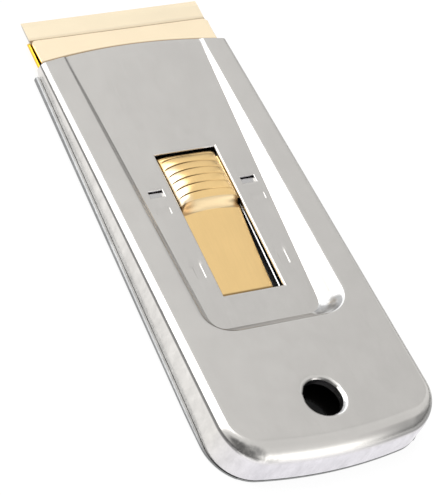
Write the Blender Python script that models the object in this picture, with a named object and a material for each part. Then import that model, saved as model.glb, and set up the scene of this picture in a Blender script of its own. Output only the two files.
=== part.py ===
"""Retractable scraper for a single-edge razor blade.

A drawn steel shell and a flat back plate, turned up over its walls, make a wedge
shaped body. A gold carriage slides in it: a tray with a jaw plate over the blade,
and a spring tongue whose ribbed hump stands in the shell's window. Pressing the
hump drops the tongue's ears clear of the stops in the shell's panel.

Frame: metres, +Z up, +Y towards the blade, the origin under the middle of the box.
Rest is the blade fully out.
"""

import math

import bmesh
import bpy
from mathutils import Matrix, Vector

MM = 0.001

# Blade, which everything else is built around
BLADE_WIDTH = 38.1 * MM
BLADE_DEPTH = 19.05 * MM
BLADE_THICKNESS = 0.3 * MM
BLADE_GRIND = 1.1 * MM
SPINE_THICKNESS = 0.8 * MM
SPINE_DEPTH = 4.4 * MM
SPINE_FOLD_GAP = 0.06 * MM

# Sheet metal and clearances
SHELL_SHEET = 0.6 * MM
PLATE_SHEET = 0.45 * MM
SLIDE_SHEET = 0.35 * MM
RUN_GAP = 0.22 * MM
SEAT_GAP = 0.12 * MM
SPINE_GAP = 0.2 * MM
SLIDE_GAP = 0.41 * MM
LIP_GAP = 0.1 * MM
SIDE_GAP = 0.12 * MM
WALL_GAP = 0.2 * MM
HEM_GAP = 0.35 * MM

# Body in plan, over the shell's walls
BODY_LENGTH = 89.8 * MM
SIDE_SPREAD = 2.5 * MM
FRONT_BOW = 1.66 * MM
REAR_BOW_RADIUS = 98.0 * MM
REAR_CORNER_RADIUS = 8.5 * MM

# Top shell
RIM_RISE = 5.0 * MM
FRONT_STEP = 0.2 * MM
FRONT_BEND = 1.05 * MM
SIDE_BEND = 1.9 * MM
REAR_BEND = 4.0 * MM
WALL_NOTCH_DEPTH = 1.1 * MM
WALL_NOTCH_LENGTH = 2.2 * MM
PANEL_BEHIND_WINDOW = 6.68 * MM
PANEL_FRONT_WIDTH = 28.8 * MM
PANEL_REAR_WIDTH = 23.2 * MM
PANEL_CORNER_RADIUS = 3.0 * MM
RECESS_LIP = 0.75 * MM
RECESS_RUN_PER_DEPTH = 0.97
HOLE_BEHIND_PANEL = 18.73 * MM
HOLE_FROM_REAR = 10.87 * MM
HOLE_RADIUS = 3.75 * MM
HOLE_ROLL_WIDTH = 0.95 * MM
HOLE_ROLL_DEPTH = 0.6 * MM
COLLAR_DEPTH = 1.15 * MM

# Back plate
HEM_BEND = 0.8 * MM
HEM_FRONT_HEIGHT = 1.5 * MM
HEM_REAR_HEIGHT = 1.0 * MM
HEM_START = 1.4 * MM
HEM_END_HALF_GAP = 18.9 * MM
PLATE_HOLE_MARGIN = 0.5 * MM

# Carriage: how far its pieces reach in front of, or behind, the shell's corners
BLADE_REACH = 10.53 * MM
JAW_REACH = 6.05 * MM
JAW_BEND_REACH = 0.3 * MM
TRAY_REACH = 6.4 * MM
JAW_CORNER_RADIUS = 0.9 * MM
LIP_BEND = 0.3 * MM
LIP_SETBACK = 0.4 * MM
LIP_CORNER = 0.5 * MM
TAIL_WIDTH = 13.8 * MM
TAIL_SPREAD = 1.1 * MM
TAIL_BEHIND_WINDOW = 5.08 * MM
TAIL_FILLET = 2.0 * MM
TAIL_END_CHAMFER = 1.0 * MM

# Thumb tongue and the window, tabs and stops that it works with
HUMP_LENGTH = 12.1 * MM
HUMP_WIDTH = 12.3 * MM
HUMP_HEIGHT = 2.3 * MM
HUMP_NOSE = 2.585 * MM
HUMP_RAMP = 1.5 * MM
HUMP_LIP_DROP = 0.7 * MM
RIB_COUNT = 5
RIB_DEPTH = 0.16 * MM
RIB_ARC = 0.6 * MM
TONGUE_ROOT_WIDTH = 10.9 * MM
TONGUE_SAG_PLACE = 0.46
TONGUE_SAG_RISE = 0.31
FLANGE_WIDTH = 0.85 * MM
WING_OVERLAP = 0.2 * MM
EAR_SPAN = 22.8 * MM
EAR_BEHIND_TAB = 1.48 * MM
EAR_DEPTH = 1.4 * MM
EAR_SETBACK = 1.5 * MM
WINDOW_SIDE_GAP = 0.28 * MM
WINDOW_FRONT_GAP = 0.43 * MM
WINDOW_REAR_GAP = 1.02 * MM
LATCH_GAP = 0.25 * MM
STOP_DEPTH = 0.25 * MM
STOP_WALL = 0.2 * MM
LOCK_STOP_SIZE = (3.1 * MM, 1.3 * MM)
LOCK_STOP_X = 10.1 * MM
PARK_STOP_SIZE = (1.8 * MM, 3.6 * MM)
PARK_STOP_X = 9.1 * MM
TAB_SIZE = (3.0 * MM, 0.8 * MM)
TAB_X = 9.9 * MM
TAB_DROP = 1.0 * MM
TAB_GAP = 0.4 * MM

# Rivets
RIVET_TENON_RADIUS = 0.9 * MM
RIVET_SHOULDER_RADIUS = 1.6 * MM
RIVET_HOLE_GAP = 0.1 * MM
RIVET_SHOULDER_GAP = 0.1 * MM
RIVET_HEAD = 0.35 * MM
JAW_RIVET_INSET = 6.05 * MM
TONGUE_RIVET_X = 2.4 * MM
SPINE_BACK_GAP = 0.3 * MM
RIVET_EDGE = 2.1 * MM

# Facets
CORNER_STEPS = 9
BOW_STEPS = 6
BEND_STEPS = 4
HOLE_SIDES = 32
RIVET_SIDES = 20
FRONT_STEPS = 12
SIDE_SHARES = (0.33, 0.67, 1.0)
SLOPE_STEPS = (0.0, 0.14, 0.35, 0.65, 0.86, 1.0)
SLOPE_SOFTNESS = 0.7

# Levels, stacked up from the surface that the back plate lies on
TAIL_BOTTOM = PLATE_SHEET + RUN_GAP
TAIL_TOP = TAIL_BOTTOM + SLIDE_SHEET
SPINE_BOTTOM = TAIL_TOP + SEAT_GAP
SPINE_TOP = SPINE_BOTTOM + SPINE_THICKNESS
BLADE_MIDDLE = (SPINE_BOTTOM + SPINE_TOP) / 2
BLADE_TOP = BLADE_MIDDLE + BLADE_THICKNESS / 2
BLADE_BOTTOM = BLADE_MIDDLE - BLADE_THICKNESS / 2
BED_TOP = BLADE_BOTTOM - SEAT_GAP
SLIDE_BOTTOM = SPINE_TOP + SPINE_GAP
SLIDE_TOP = SLIDE_BOTTOM + SLIDE_SHEET
ROOT_TOP = TAIL_TOP + SEAT_GAP + SLIDE_SHEET
JAW_FRONT_TOP = BLADE_TOP + SEAT_GAP + SLIDE_SHEET
PANEL_BOTTOM = SLIDE_TOP + SLIDE_GAP
PANEL_TOP = PANEL_BOTTOM + SHELL_SHEET
WALL_BOTTOM = PLATE_SHEET + WALL_GAP

# Lengths behind the chord between the shell's front corners. The carriage moves back once in
# front of the tabs and once behind the hump, so its travel takes half of the room left there.
CARRIAGE_BACK = BLADE_DEPTH - BLADE_REACH + SPINE_BACK_GAP + RIVET_SHOULDER_RADIUS + RIVET_EDGE
PANEL_LENGTH = BODY_LENGTH - HOLE_FROM_REAR - HOLE_BEHIND_PANEL
WINDOW_BACK = PANEL_LENGTH - PANEL_BEHIND_WINDOW
TAB_TO_HUMP = TAB_SIZE[1] + EAR_BEHIND_TAB + EAR_DEPTH + EAR_SETBACK
TRAVEL = (WINDOW_BACK - WINDOW_REAR_GAP - TAB_TO_HUMP - TAB_GAP - CARRIAGE_BACK) / 2
TAB_BACK = CARRIAGE_BACK + TRAVEL + TAB_GAP
EAR_BACK = TAB_BACK + TAB_SIZE[1] + EAR_BEHIND_TAB
HUMP_BACK = TAB_BACK + TAB_TO_HUMP
SIDE_FRACTIONS = (0.0, WALL_NOTCH_LENGTH / BODY_LENGTH, *SIDE_SHARES)

# Places along Y
FRONT_Y = (BODY_LENGTH - BLADE_REACH) / 2
REAR_Y = FRONT_Y - BODY_LENGTH
BLADE_EDGE_Y = FRONT_Y + BLADE_REACH
BLADE_BACK_Y = BLADE_EDGE_Y - BLADE_DEPTH
JAW_RIVET_Y = BLADE_BACK_Y - SPINE_BACK_GAP - RIVET_SHOULDER_RADIUS
CARRIAGE_BACK_Y = FRONT_Y - CARRIAGE_BACK
TAB_FRONT_Y = FRONT_Y - TAB_BACK
TAB_REAR_Y = TAB_FRONT_Y - TAB_SIZE[1]
EAR_FRONT_Y = FRONT_Y - EAR_BACK
EAR_REAR_Y = EAR_FRONT_Y - EAR_DEPTH
HUMP_REAR_Y = FRONT_Y - HUMP_BACK
HUMP_FRONT_Y = HUMP_REAR_Y + HUMP_LENGTH
WINDOW_FRONT_Y = HUMP_FRONT_Y + WINDOW_FRONT_GAP
WINDOW_REAR_Y = FRONT_Y - WINDOW_BACK
TAIL_END_Y = WINDOW_REAR_Y - TAIL_BEHIND_WINDOW
TONGUE_RIVET_Y = TAIL_END_Y + RIVET_EDGE
ROOT_FRONT_Y = TONGUE_RIVET_Y + RIVET_EDGE
HOLE_Y = REAR_Y + HOLE_FROM_REAR

# Widths that follow from the blade
TRAY_HALF_WIDTH = BLADE_WIDTH / 2 + LIP_GAP + SLIDE_SHEET
FRONT_HALF_WIDTH = TRAY_HALF_WIDTH + SIDE_GAP + SHELL_SHEET
HEM_OFFSET = HEM_GAP + PLATE_SHEET
JAW_RIVET_X = BLADE_WIDTH / 2 - JAW_RIVET_INSET
RIM_SLOPE = (RIM_RISE - FRONT_STEP) / BODY_LENGTH


def clear_scene():
    """Remove every object of the scene."""
    for scene_object in list(bpy.data.objects):
        bpy.data.objects.remove(scene_object, do_unlink=True)


def metal(name, colour, roughness):
    """A plain metal material."""
    material = bpy.data.materials.new(name)
    material.use_nodes = True
    shader = material.node_tree.nodes["Principled BSDF"]
    shader.inputs["Base Color"].default_value = (*colour, 1.0)
    shader.inputs["Metallic"].default_value = 1.0
    shader.inputs["Roughness"].default_value = roughness
    return material


def add_object(name, mesh):
    """An object for the mesh, linked to the scene."""
    new_object = bpy.data.objects.new(name, mesh)
    bpy.context.scene.collection.objects.link(new_object)
    return new_object


def add_surface(name, points, faces, facing):
    """An open surface, its faces turned so that they look along facing on the whole."""
    mesh = bpy.data.meshes.new(name)
    mesh.from_pydata(points, [], faces)
    shape = bmesh.new()
    shape.from_mesh(mesh)
    bmesh.ops.remove_doubles(shape, verts=shape.verts, dist=0.001 * MM)
    bmesh.ops.recalc_face_normals(shape, faces=shape.faces)
    outlook = sum((face.normal * face.calc_area() for face in shape.faces), Vector())
    if outlook.dot(Vector(facing)) < 0:
        bmesh.ops.reverse_faces(shape, faces=shape.faces)
    shape.to_mesh(mesh)
    shape.free()
    return add_object(name, mesh)


def add_solid(name, points, faces):
    """A closed body with its faces pointing out."""
    mesh = bpy.data.meshes.new(name)
    mesh.from_pydata(points, [], faces)
    shape = bmesh.new()
    shape.from_mesh(mesh)
    bmesh.ops.recalc_face_normals(shape, faces=shape.faces)
    shape.to_mesh(mesh)
    shape.free()
    return add_object(name, mesh)


def thicken(sheet, thickness):
    """Give a surface its sheet thickness, behind the face that was drawn."""
    solidify = sheet.modifiers.new("sheet", "SOLIDIFY")
    solidify.thickness = thickness
    solidify.offset = -1.0
    solidify.use_even_offset = True


def combine(target, tool, operation):
    """Cut the tool from the target, or join it to the target, and hide the tool."""
    boolean = target.modifiers.new(tool.name, "BOOLEAN")
    boolean.operation = operation
    boolean.solver = "EXACT"
    boolean.object = tool
    tool.hide_render = True
    tool.display_type = "WIRE"


def block(low, high):
    """Points and faces of a box."""
    points = [(x, y, z) for z in (low[2], high[2]) for y in (low[1], high[1]) for x in (low[0], high[0])]
    faces = [(0, 2, 3, 1), (4, 5, 7, 6), (0, 1, 5, 4), (2, 6, 7, 3), (0, 4, 6, 2), (1, 3, 7, 5)]
    return points, faces


def turned(centre, profile, sides):
    """Points and faces of a solid turned about the vertical through centre.

    The profile lists (radius, height) from the bottom to the top.
    """
    points = []
    for radius, height in profile:
        for side in range(sides):
            angle = 2 * math.pi * side / sides
            points.append((centre[0] + radius * math.cos(angle), centre[1] + radius * math.sin(angle), height))
    faces = [tuple(range(sides)), tuple(range(len(points) - sides, len(points)))]
    for ring in range(len(profile) - 1):
        for side in range(sides):
            beside = (side + 1) % sides
            low = ring * sides
            high = low + sides
            faces.append((low + side, low + beside, high + beside, high + side))
    return points, faces


def merged(shapes):
    """Several closed shapes in one list of points and faces."""
    points = []
    faces = []
    for shape_points, shape_faces in shapes:
        start = len(points)
        points.extend(shape_points)
        faces.extend(tuple(start + corner for corner in face) for face in shape_faces)
    return points, faces


def extruded(profile, half_width):
    """Points and faces of a (y, z) outline drawn across X."""
    count = len(profile)
    points = [(side * half_width, y, z) for side in (-1, 1) for y, z in profile]
    faces = [tuple(range(count)), tuple(range(count, 2 * count))]
    for corner in range(count):
        beside = (corner + 1) % count
        faces.append((corner, beside, count + beside, count + corner))
    return points, faces


def prism(outline, low, high):
    """Points and faces of an (x, y) outline drawn up from low to high."""
    count = len(outline)
    points = [(x, y, z) for z in (low, high) for x, y in outline]
    faces = [tuple(range(count)), tuple(range(count, 2 * count))]
    for corner in range(count):
        beside = (corner + 1) % count
        faces.append((corner, beside, count + beside, count + corner))
    return points, faces


def bridged(loops):
    """Quads between neighbouring rows of points that have equal counts."""
    faces = []
    for low, high in zip(loops, loops[1:]):
        for step in range(len(low) - 1):
            faces.append((low[step], low[step + 1], high[step + 1], high[step]))
    return faces


class Surface:
    """Points that are collected row by row, with the faces between them."""

    def __init__(self):
        self.points = []
        self.faces = []

    def row(self, points):
        """Add a row of points and give back their numbers."""
        start = len(self.points)
        self.points.extend(points)
        return list(range(start, len(self.points)))

    def bridge(self, *rows):
        """Fill between neighbouring rows."""
        self.faces.extend(bridged(rows))

    def fill(self, corners):
        """Add one flat face."""
        self.faces.append(tuple(corners))


def front_y(x):
    """The shell's front edge: an arc through both front corners."""
    radius = (FRONT_HALF_WIDTH ** 2 + FRONT_BOW ** 2) / (2 * FRONT_BOW)
    return FRONT_Y + FRONT_BOW - radius + math.sqrt(radius ** 2 - x ** 2)


def rim_z(y):
    """Top of the rim, a step above the panel in front, which climbs from there to the rear."""
    return PANEL_TOP + FRONT_STEP + RIM_SLOPE * max(FRONT_Y - y, 0.0)


def mirrored(half):
    """A whole outline from its right half, which runs from the rear middle to the front."""
    left = [(-x, y, -nx, ny) for x, y, nx, ny in half[:0:-1]]
    return left + half


def body_outline():
    """The wall's plan outline with its outward normals, front left round the rear to front right.

    A bowed rear edge, two corner arcs and two straight sides, all tangent to each other.
    """
    spread = math.atan2(SIDE_SPREAD, BODY_LENGTH)
    normal = Vector((math.cos(spread), math.sin(spread)))
    along = Vector((math.sin(spread), -math.cos(spread)))
    start = Vector((FRONT_HALF_WIDTH, FRONT_Y))
    bow_centre = Vector((0.0, REAR_Y + REAR_BOW_RADIUS))
    reach = REAR_BOW_RADIUS - REAR_CORNER_RADIUS
    from_bow = start - REAR_CORNER_RADIUS * normal - bow_centre
    way = from_bow.dot(along)
    length = math.sqrt(way ** 2 - from_bow.length_squared + reach ** 2) - way
    centre = bow_centre + from_bow + length * along
    meeting = math.atan2(centre.y - bow_centre.y, centre.x - bow_centre.x)
    half = []
    for step in range(BOW_STEPS):
        angle = -math.pi / 2 + (meeting + math.pi / 2) * step / BOW_STEPS
        facing = Vector((math.cos(angle), math.sin(angle)))
        half.append((*(bow_centre + REAR_BOW_RADIUS * facing), *facing))
    for step in range(CORNER_STEPS):
        angle = meeting + (spread - meeting) * step / CORNER_STEPS
        facing = Vector((math.cos(angle), math.sin(angle)))
        half.append((*(centre + REAR_CORNER_RADIUS * facing), *facing))
    for fraction in reversed(SIDE_FRACTIONS):
        half.append((*(start + length * fraction * along), *normal))
    return mirrored(half)


def panel_outline():
    """The sunk panel's outline, point for point beside the body's outline."""
    spread = math.atan2((PANEL_REAR_WIDTH - PANEL_FRONT_WIDTH) / 2, PANEL_LENGTH)
    normal = Vector((math.cos(spread), math.sin(spread)))
    along = Vector((math.sin(spread), -math.cos(spread)))
    start = Vector((PANEL_FRONT_WIDTH / 2, FRONT_Y))
    rear = FRONT_Y - PANEL_LENGTH
    first = start - PANEL_CORNER_RADIUS * normal
    length = (first.y - rear - PANEL_CORNER_RADIUS) / -along.y
    centre = first + length * along
    half = []
    for step in range(BOW_STEPS):
        half.append((centre.x * step / BOW_STEPS, rear, 0.0, -1.0))
    for step in range(CORNER_STEPS):
        angle = -math.pi / 2 + (spread + math.pi / 2) * step / CORNER_STEPS
        facing = Vector((math.cos(angle), math.sin(angle)))
        half.append((*(centre + PANEL_CORNER_RADIUS * facing), *facing))
    for fraction in reversed(SIDE_FRACTIONS):
        half.append((*(start + length * fraction * along), *normal))
    return mirrored(half)


def moved_out(outline, offsets):
    """The outline's points moved along their normals, their ends kept on the front edge."""
    moved = []
    last = len(outline) - 1
    for number, ((x, y, nx, ny), offset) in enumerate(zip(outline, offsets)):
        new_x = x + nx * offset
        new_y = front_y(new_x) if number in (0, last) else y + ny * offset
        moved.append((new_x, new_y))
    return moved


def bend_radius(y, facing):
    """Radius between wall and rim: it grows along the sides and most round the rear."""
    along = FRONT_BEND + (SIDE_BEND - FRONT_BEND) * (FRONT_Y - y) / BODY_LENGTH
    return along + (REAR_BEND - along) * max(-facing, 0.0) ** 2


def shell_surface():
    """Outer face of the top shell: walls, bends, rim, sunk panel and hang-hole collar."""
    surface = Surface()
    outline = body_outline()
    ends = (0, len(outline) - 1)
    bends = [bend_radius(y, ny) for _, y, _, ny in outline]
    flat = [0.0] * len(outline)
    bottom = []
    for number, (x, y) in enumerate(moved_out(outline, flat)):
        bottom.append((x, y, WALL_BOTTOM + (WALL_NOTCH_DEPTH if number in ends else 0.0)))
    rows = [surface.row(bottom)]
    for step in range(BEND_STEPS + 1):
        angle = math.pi / 2 * step / BEND_STEPS
        insets = [-bend * (1 - math.cos(angle)) for bend in bends]
        places = moved_out(outline, insets)
        rows.append(surface.row(
            [(x, y, rim_z(y) - bend * (1 - math.sin(angle))) for (x, y), bend in zip(places, bends)]))
    surface.bridge(*rows)
    rim_row = rows[-1]

    panel = panel_outline()
    run_slope = RECESS_RUN_PER_DEPTH * RIM_SLOPE
    least_run = RECESS_LIP + RECESS_RUN_PER_DEPTH * FRONT_STEP
    runs = [(least_run + run_slope * max(FRONT_Y - y, 0.0)) / (1 + run_slope * ny) for _, y, _, ny in panel]
    tops = [rim_z(y) for _, y in moved_out(panel, runs)]
    slope_rows = []
    for step in SLOPE_STEPS:
        climb = step - SLOPE_SOFTNESS * math.sin(2 * math.pi * step) / (2 * math.pi)
        places = moved_out(panel, [run * step for run in runs])
        slope_rows.append(surface.row(
            [(x, y, PANEL_TOP + (top - PANEL_TOP) * climb) for (x, y), top in zip(places, tops)]))
    surface.bridge(*slope_rows)
    floor_row = slope_rows[0]
    edge_row = slope_rows[-1]

    half_front = PANEL_FRONT_WIDTH / 2
    front_row = surface.row(
        [(x, front_y(x), PANEL_TOP)
         for x in (half_front * (1 - 2 * step / FRONT_STEPS) for step in range(1, FRONT_STEPS))])
    surface.fill(floor_row + front_row)

    collar_rows = collar_surface(surface)
    ring = collar_rows[0]
    middle = len(outline) // 2
    side_end = len(SIDE_FRACTIONS) - 1
    other_side = len(outline) - 1 - side_end
    surface.bridge(rim_row[:side_end + 1], edge_row[:side_end + 1])
    surface.bridge(rim_row[other_side:], edge_row[other_side:])
    half_ring = HOLE_SIDES // 2
    left_arc = [ring[step] for step in range(half_ring + 1)]
    right_arc = [ring[-step % HOLE_SIDES] for step in range(half_ring + 1)]
    surface.fill(edge_row[side_end:middle + 1] + left_arc + rim_row[side_end:middle + 1][::-1])
    surface.fill(edge_row[middle:other_side + 1][::-1] + right_arc + rim_row[middle:other_side + 1])
    return surface


def collar_surface(surface):
    """Rolled edge and short tube of the hang hole, square to the sloping rim.

    Each ring starts at its front and runs round by the left.
    """
    tilt = math.atan(RIM_SLOPE)
    across = Vector((-1.0, 0.0, 0.0))
    ahead = Vector((0.0, math.cos(tilt), -math.sin(tilt)))
    up = Vector((0.0, math.sin(tilt), math.cos(tilt)))
    centre = Vector((0.0, HOLE_Y, rim_z(HOLE_Y)))
    profile = []
    for step in range(BEND_STEPS + 1):
        angle = math.pi / 2 * step / BEND_STEPS
        profile.append((HOLE_RADIUS + HOLE_ROLL_WIDTH * (1 - math.sin(angle)),
                        HOLE_ROLL_DEPTH * (1 - math.cos(angle))))
    profile.append((HOLE_RADIUS, HOLE_ROLL_DEPTH + COLLAR_DEPTH))
    rows = []
    for radius, depth in profile:
        ring = []
        for side in range(HOLE_SIDES):
            angle = 2 * math.pi * side / HOLE_SIDES
            ring.append(tuple(
                centre + radius * (math.cos(angle) * ahead + math.sin(angle) * across) - depth * up))
        rows.append(surface.row(ring))
    closed = [ring + ring[:1] for ring in rows]
    surface.bridge(*closed)
    return rows


def panel_stops():
    """Places of the two pairs of half-shear stops, as (x, y, size)."""
    lock_y = EAR_REAR_Y - LATCH_GAP - LOCK_STOP_SIZE[1] / 2
    park_y = EAR_FRONT_Y - TRAVEL + LATCH_GAP + PARK_STOP_SIZE[1] / 2
    places = []
    for side in (-1, 1):
        places.append((side * LOCK_STOP_X, lock_y, LOCK_STOP_SIZE))
        places.append((side * PARK_STOP_X, park_y, PARK_STOP_SIZE))
    return places


def make_top_shell(steel):
    """Drawn cover with its window, lanced tabs and stops."""
    surface = shell_surface()
    shell = add_surface("top_shell", surface.points, surface.faces, (0, 0, 1))
    thicken(shell, SHELL_SHEET)
    above = PANEL_TOP + SHELL_SHEET
    below = PANEL_BOTTOM - SHELL_SHEET
    half_window = HUMP_WIDTH / 2 + WINDOW_SIDE_GAP
    cuts = [block((-half_window, WINDOW_REAR_Y, below), (half_window, WINDOW_FRONT_Y, above))]
    bosses = []
    for x, y, size in panel_stops():
        half_x, half_y = size[0] / 2, size[1] / 2
        cuts.append(block((x - half_x, y - half_y, PANEL_TOP - STOP_DEPTH), (x + half_x, y + half_y, above)))
        half_x += STOP_WALL
        half_y += STOP_WALL
        web = PANEL_BOTTOM + (SHELL_SHEET - STOP_DEPTH) / 2
        bosses.append(block((x - half_x, y - half_y, PANEL_BOTTOM - STOP_DEPTH), (x + half_x, y + half_y, web)))
    tab_root = TAB_REAR_Y - SHELL_SHEET
    tab_half = TAB_SIZE[0] / 2
    for side in (-1, 1):
        low, high = side * TAB_X - tab_half, side * TAB_X + tab_half
        cuts.append(block((low, TAB_REAR_Y, below), (high, TAB_FRONT_Y, above)))
        profile = [(tab_root, PANEL_BOTTOM + SHELL_SHEET / 3), (tab_root, PANEL_BOTTOM - SHELL_SHEET / 3),
                   (TAB_REAR_Y, PANEL_BOTTOM - TAB_DROP), (TAB_REAR_Y + SHELL_SHEET / 2, PANEL_BOTTOM - TAB_DROP),
                   (TAB_REAR_Y, PANEL_BOTTOM + SHELL_SHEET / 3)]
        points, faces = extruded(profile, tab_half)
        bosses.append(([(x + side * TAB_X, y, z) for x, y, z in points], faces))
    combine(shell, add_solid("panel_cuts", *merged(cuts)), "DIFFERENCE")
    combine(shell, add_solid("panel_bosses", *merged(bosses)), "UNION")
    shell.data.materials.append(steel)
    return shell


def make_back_plate(steel):
    """Flat plate with its edge turned up over the shell's sides and rear corners."""
    surface = Surface()
    outline = body_outline()
    last = len(outline) - 1
    hem_start_y = FRONT_Y - HEM_START
    base_offset = HEM_OFFSET - HEM_BEND

    def place(number, offset):
        x, y, nx, ny = outline[number]
        if number in (0, last):
            drop = FRONT_Y - hem_start_y
            spread = SIDE_SPREAD / BODY_LENGTH
            return (math.copysign(abs(x) + drop * spread, x) + nx * offset, hem_start_y)
        return (x + nx * offset, y + ny * offset)

    base_row = surface.row([(*place(number, base_offset), 0.0) for number in range(last + 1)])
    surface.fill(base_row)
    left = [number for number in range(last + 1) if outline[number][0] < -HEM_END_HALF_GAP]
    right = [last - number for number in left]
    for side in (left, right):
        rows = [[base_row[number] for number in side]]
        for step in range(1, BEND_STEPS + 1):
            angle = math.pi / 2 * step / BEND_STEPS
            offset = base_offset + HEM_BEND * math.sin(angle)
            height = HEM_BEND * (1 - math.cos(angle))
            rows.append(surface.row([(*place(number, offset), height) for number in side]))
        tops = []
        for number in side:
            share = (hem_start_y - outline[number][1]) / (hem_start_y - REAR_Y)
            height = HEM_FRONT_HEIGHT + (HEM_REAR_HEIGHT - HEM_FRONT_HEIGHT) * max(share, 0.0)
            tops.append((*place(number, HEM_OFFSET), height))
        rows.append(surface.row(tops))
        surface.bridge(*rows)
    plate = add_surface("back_plate", surface.points, surface.faces, (0, 0, -1))
    thicken(plate, PLATE_SHEET)
    radius = HOLE_RADIUS + PLATE_HOLE_MARGIN
    drill = turned((0.0, HOLE_Y), [(radius, -PLATE_SHEET), (radius, 2 * PLATE_SHEET)], HOLE_SIDES)
    combine(plate, add_solid("plate_hole", *drill), "DIFFERENCE")
    plate.data.materials.append(steel)
    return plate


def rivet_drills(name, places):
    """One cutter with a hole for each rivet."""
    radius = RIVET_TENON_RADIUS + RIVET_HOLE_GAP
    profile = [(radius, 0.0), (radius, PANEL_TOP)]
    return add_solid(name, *merged([turned(place, profile, RIVET_SIDES) for place in places]))


def jaw_rivet_places():
    """Left and right jaw rivet."""
    return [(side * JAW_RIVET_X, JAW_RIVET_Y) for side in (-1, 1)]


def tongue_rivet_places():
    """Left and right tongue rivet."""
    return [(side * TONGUE_RIVET_X, TONGUE_RIVET_Y) for side in (-1, 1)]


def make_blade_tray(gold):
    """Lower jaw: a floor with side lips, a front edge turned up under the blade, and a tail."""
    surface = Surface()
    inner = TRAY_HALF_WIDTH - SLIDE_SHEET
    floor_half = inner - LIP_BEND
    front = FRONT_Y + TRAY_REACH
    lip_front = front - LIP_SETBACK
    stations = [(lip_front, BLADE_TOP - LIP_CORNER), (lip_front - LIP_CORNER / 4, BLADE_TOP - LIP_CORNER / 3),
                (lip_front - LIP_CORNER, BLADE_TOP), (CARRIAGE_BACK_Y, BLADE_TOP)]
    neck_half = TAIL_WIDTH / 2 + TAIL_SPREAD + TAIL_FILLET
    half_bend = LIP_BEND * math.sqrt(0.5)
    rows = []
    for y, lip_top in stations:
        right = [(neck_half, TAIL_TOP), (floor_half, TAIL_TOP),
                 (floor_half + half_bend, TAIL_TOP + LIP_BEND - half_bend),
                 (inner, TAIL_TOP + LIP_BEND), (inner, max(lip_top, TAIL_TOP + 1.1 * LIP_BEND))]
        profile = [(-x, z) for x, z in reversed(right)] + right
        rows.append(surface.row([(x, y, z) for x, z in profile]))
    surface.bridge(*rows)
    apron = surface.row([(x, front, BED_TOP) for x in (-floor_half, -neck_half, neck_half, floor_half)])
    surface.bridge(apron, rows[0][3:7])
    tail_half = TAIL_WIDTH / 2
    tail_rows = [rows[-1][4:6]]
    for half, y in ((tail_half + TAIL_SPREAD, CARRIAGE_BACK_Y - TAIL_FILLET),
                    (tail_half, TAIL_END_Y + TAIL_END_CHAMFER),
                    (tail_half - TAIL_END_CHAMFER, TAIL_END_Y)):
        tail_rows.append(surface.row([(-half, y, TAIL_TOP), (half, y, TAIL_TOP)]))
    surface.bridge(*tail_rows)
    tray = add_surface("blade_tray", surface.points, surface.faces, (0, 0, 1))
    thicken(tray, SLIDE_SHEET)
    combine(tray, rivet_drills("tray_holes", jaw_rivet_places() + tongue_rivet_places()), "DIFFERENCE")
    tray.data.materials.append(gold)
    return tray


def make_jaw_plate(gold):
    """Upper jaw: a flat plate whose front strip slopes down on to the blade."""
    surface = Surface()
    half = BLADE_WIDTH / 2
    front = FRONT_Y + JAW_REACH
    bend = FRONT_Y + JAW_BEND_REACH
    slope = (SLIDE_TOP - JAW_FRONT_TOP) / (front - bend)
    corner = []
    for step in range(BEND_STEPS + 1):
        angle = math.pi / 2 * step / BEND_STEPS
        x = half - JAW_CORNER_RADIUS * (1 - math.cos(angle))
        y = front - JAW_CORNER_RADIUS * (1 - math.sin(angle))
        corner.append((x, y, SLIDE_TOP - slope * (y - bend)))
    bend_row = surface.row([(-half, bend, SLIDE_TOP), (half, bend, SLIDE_TOP)])
    right_row = surface.row(corner)
    left_row = surface.row([(-x, y, z) for x, y, z in reversed(corner)])
    surface.fill(bend_row + right_row + left_row)
    back = [(half, CARRIAGE_BACK_Y + JAW_CORNER_RADIUS), (half - JAW_CORNER_RADIUS, CARRIAGE_BACK_Y)]
    right_back = surface.row([(x, y, SLIDE_TOP) for x, y in back])
    left_back = surface.row([(-x, y, SLIDE_TOP) for x, y in reversed(back)])
    surface.fill(bend_row[::-1] + left_back[::-1] + right_back[::-1])
    plate = add_surface("jaw_plate", surface.points, surface.faces, (0, 0, 1))
    thicken(plate, SLIDE_SHEET)
    combine(plate, rivet_drills("jaw_holes", jaw_rivet_places()), "DIFFERENCE")
    plate.data.materials.append(gold)
    return plate


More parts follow.
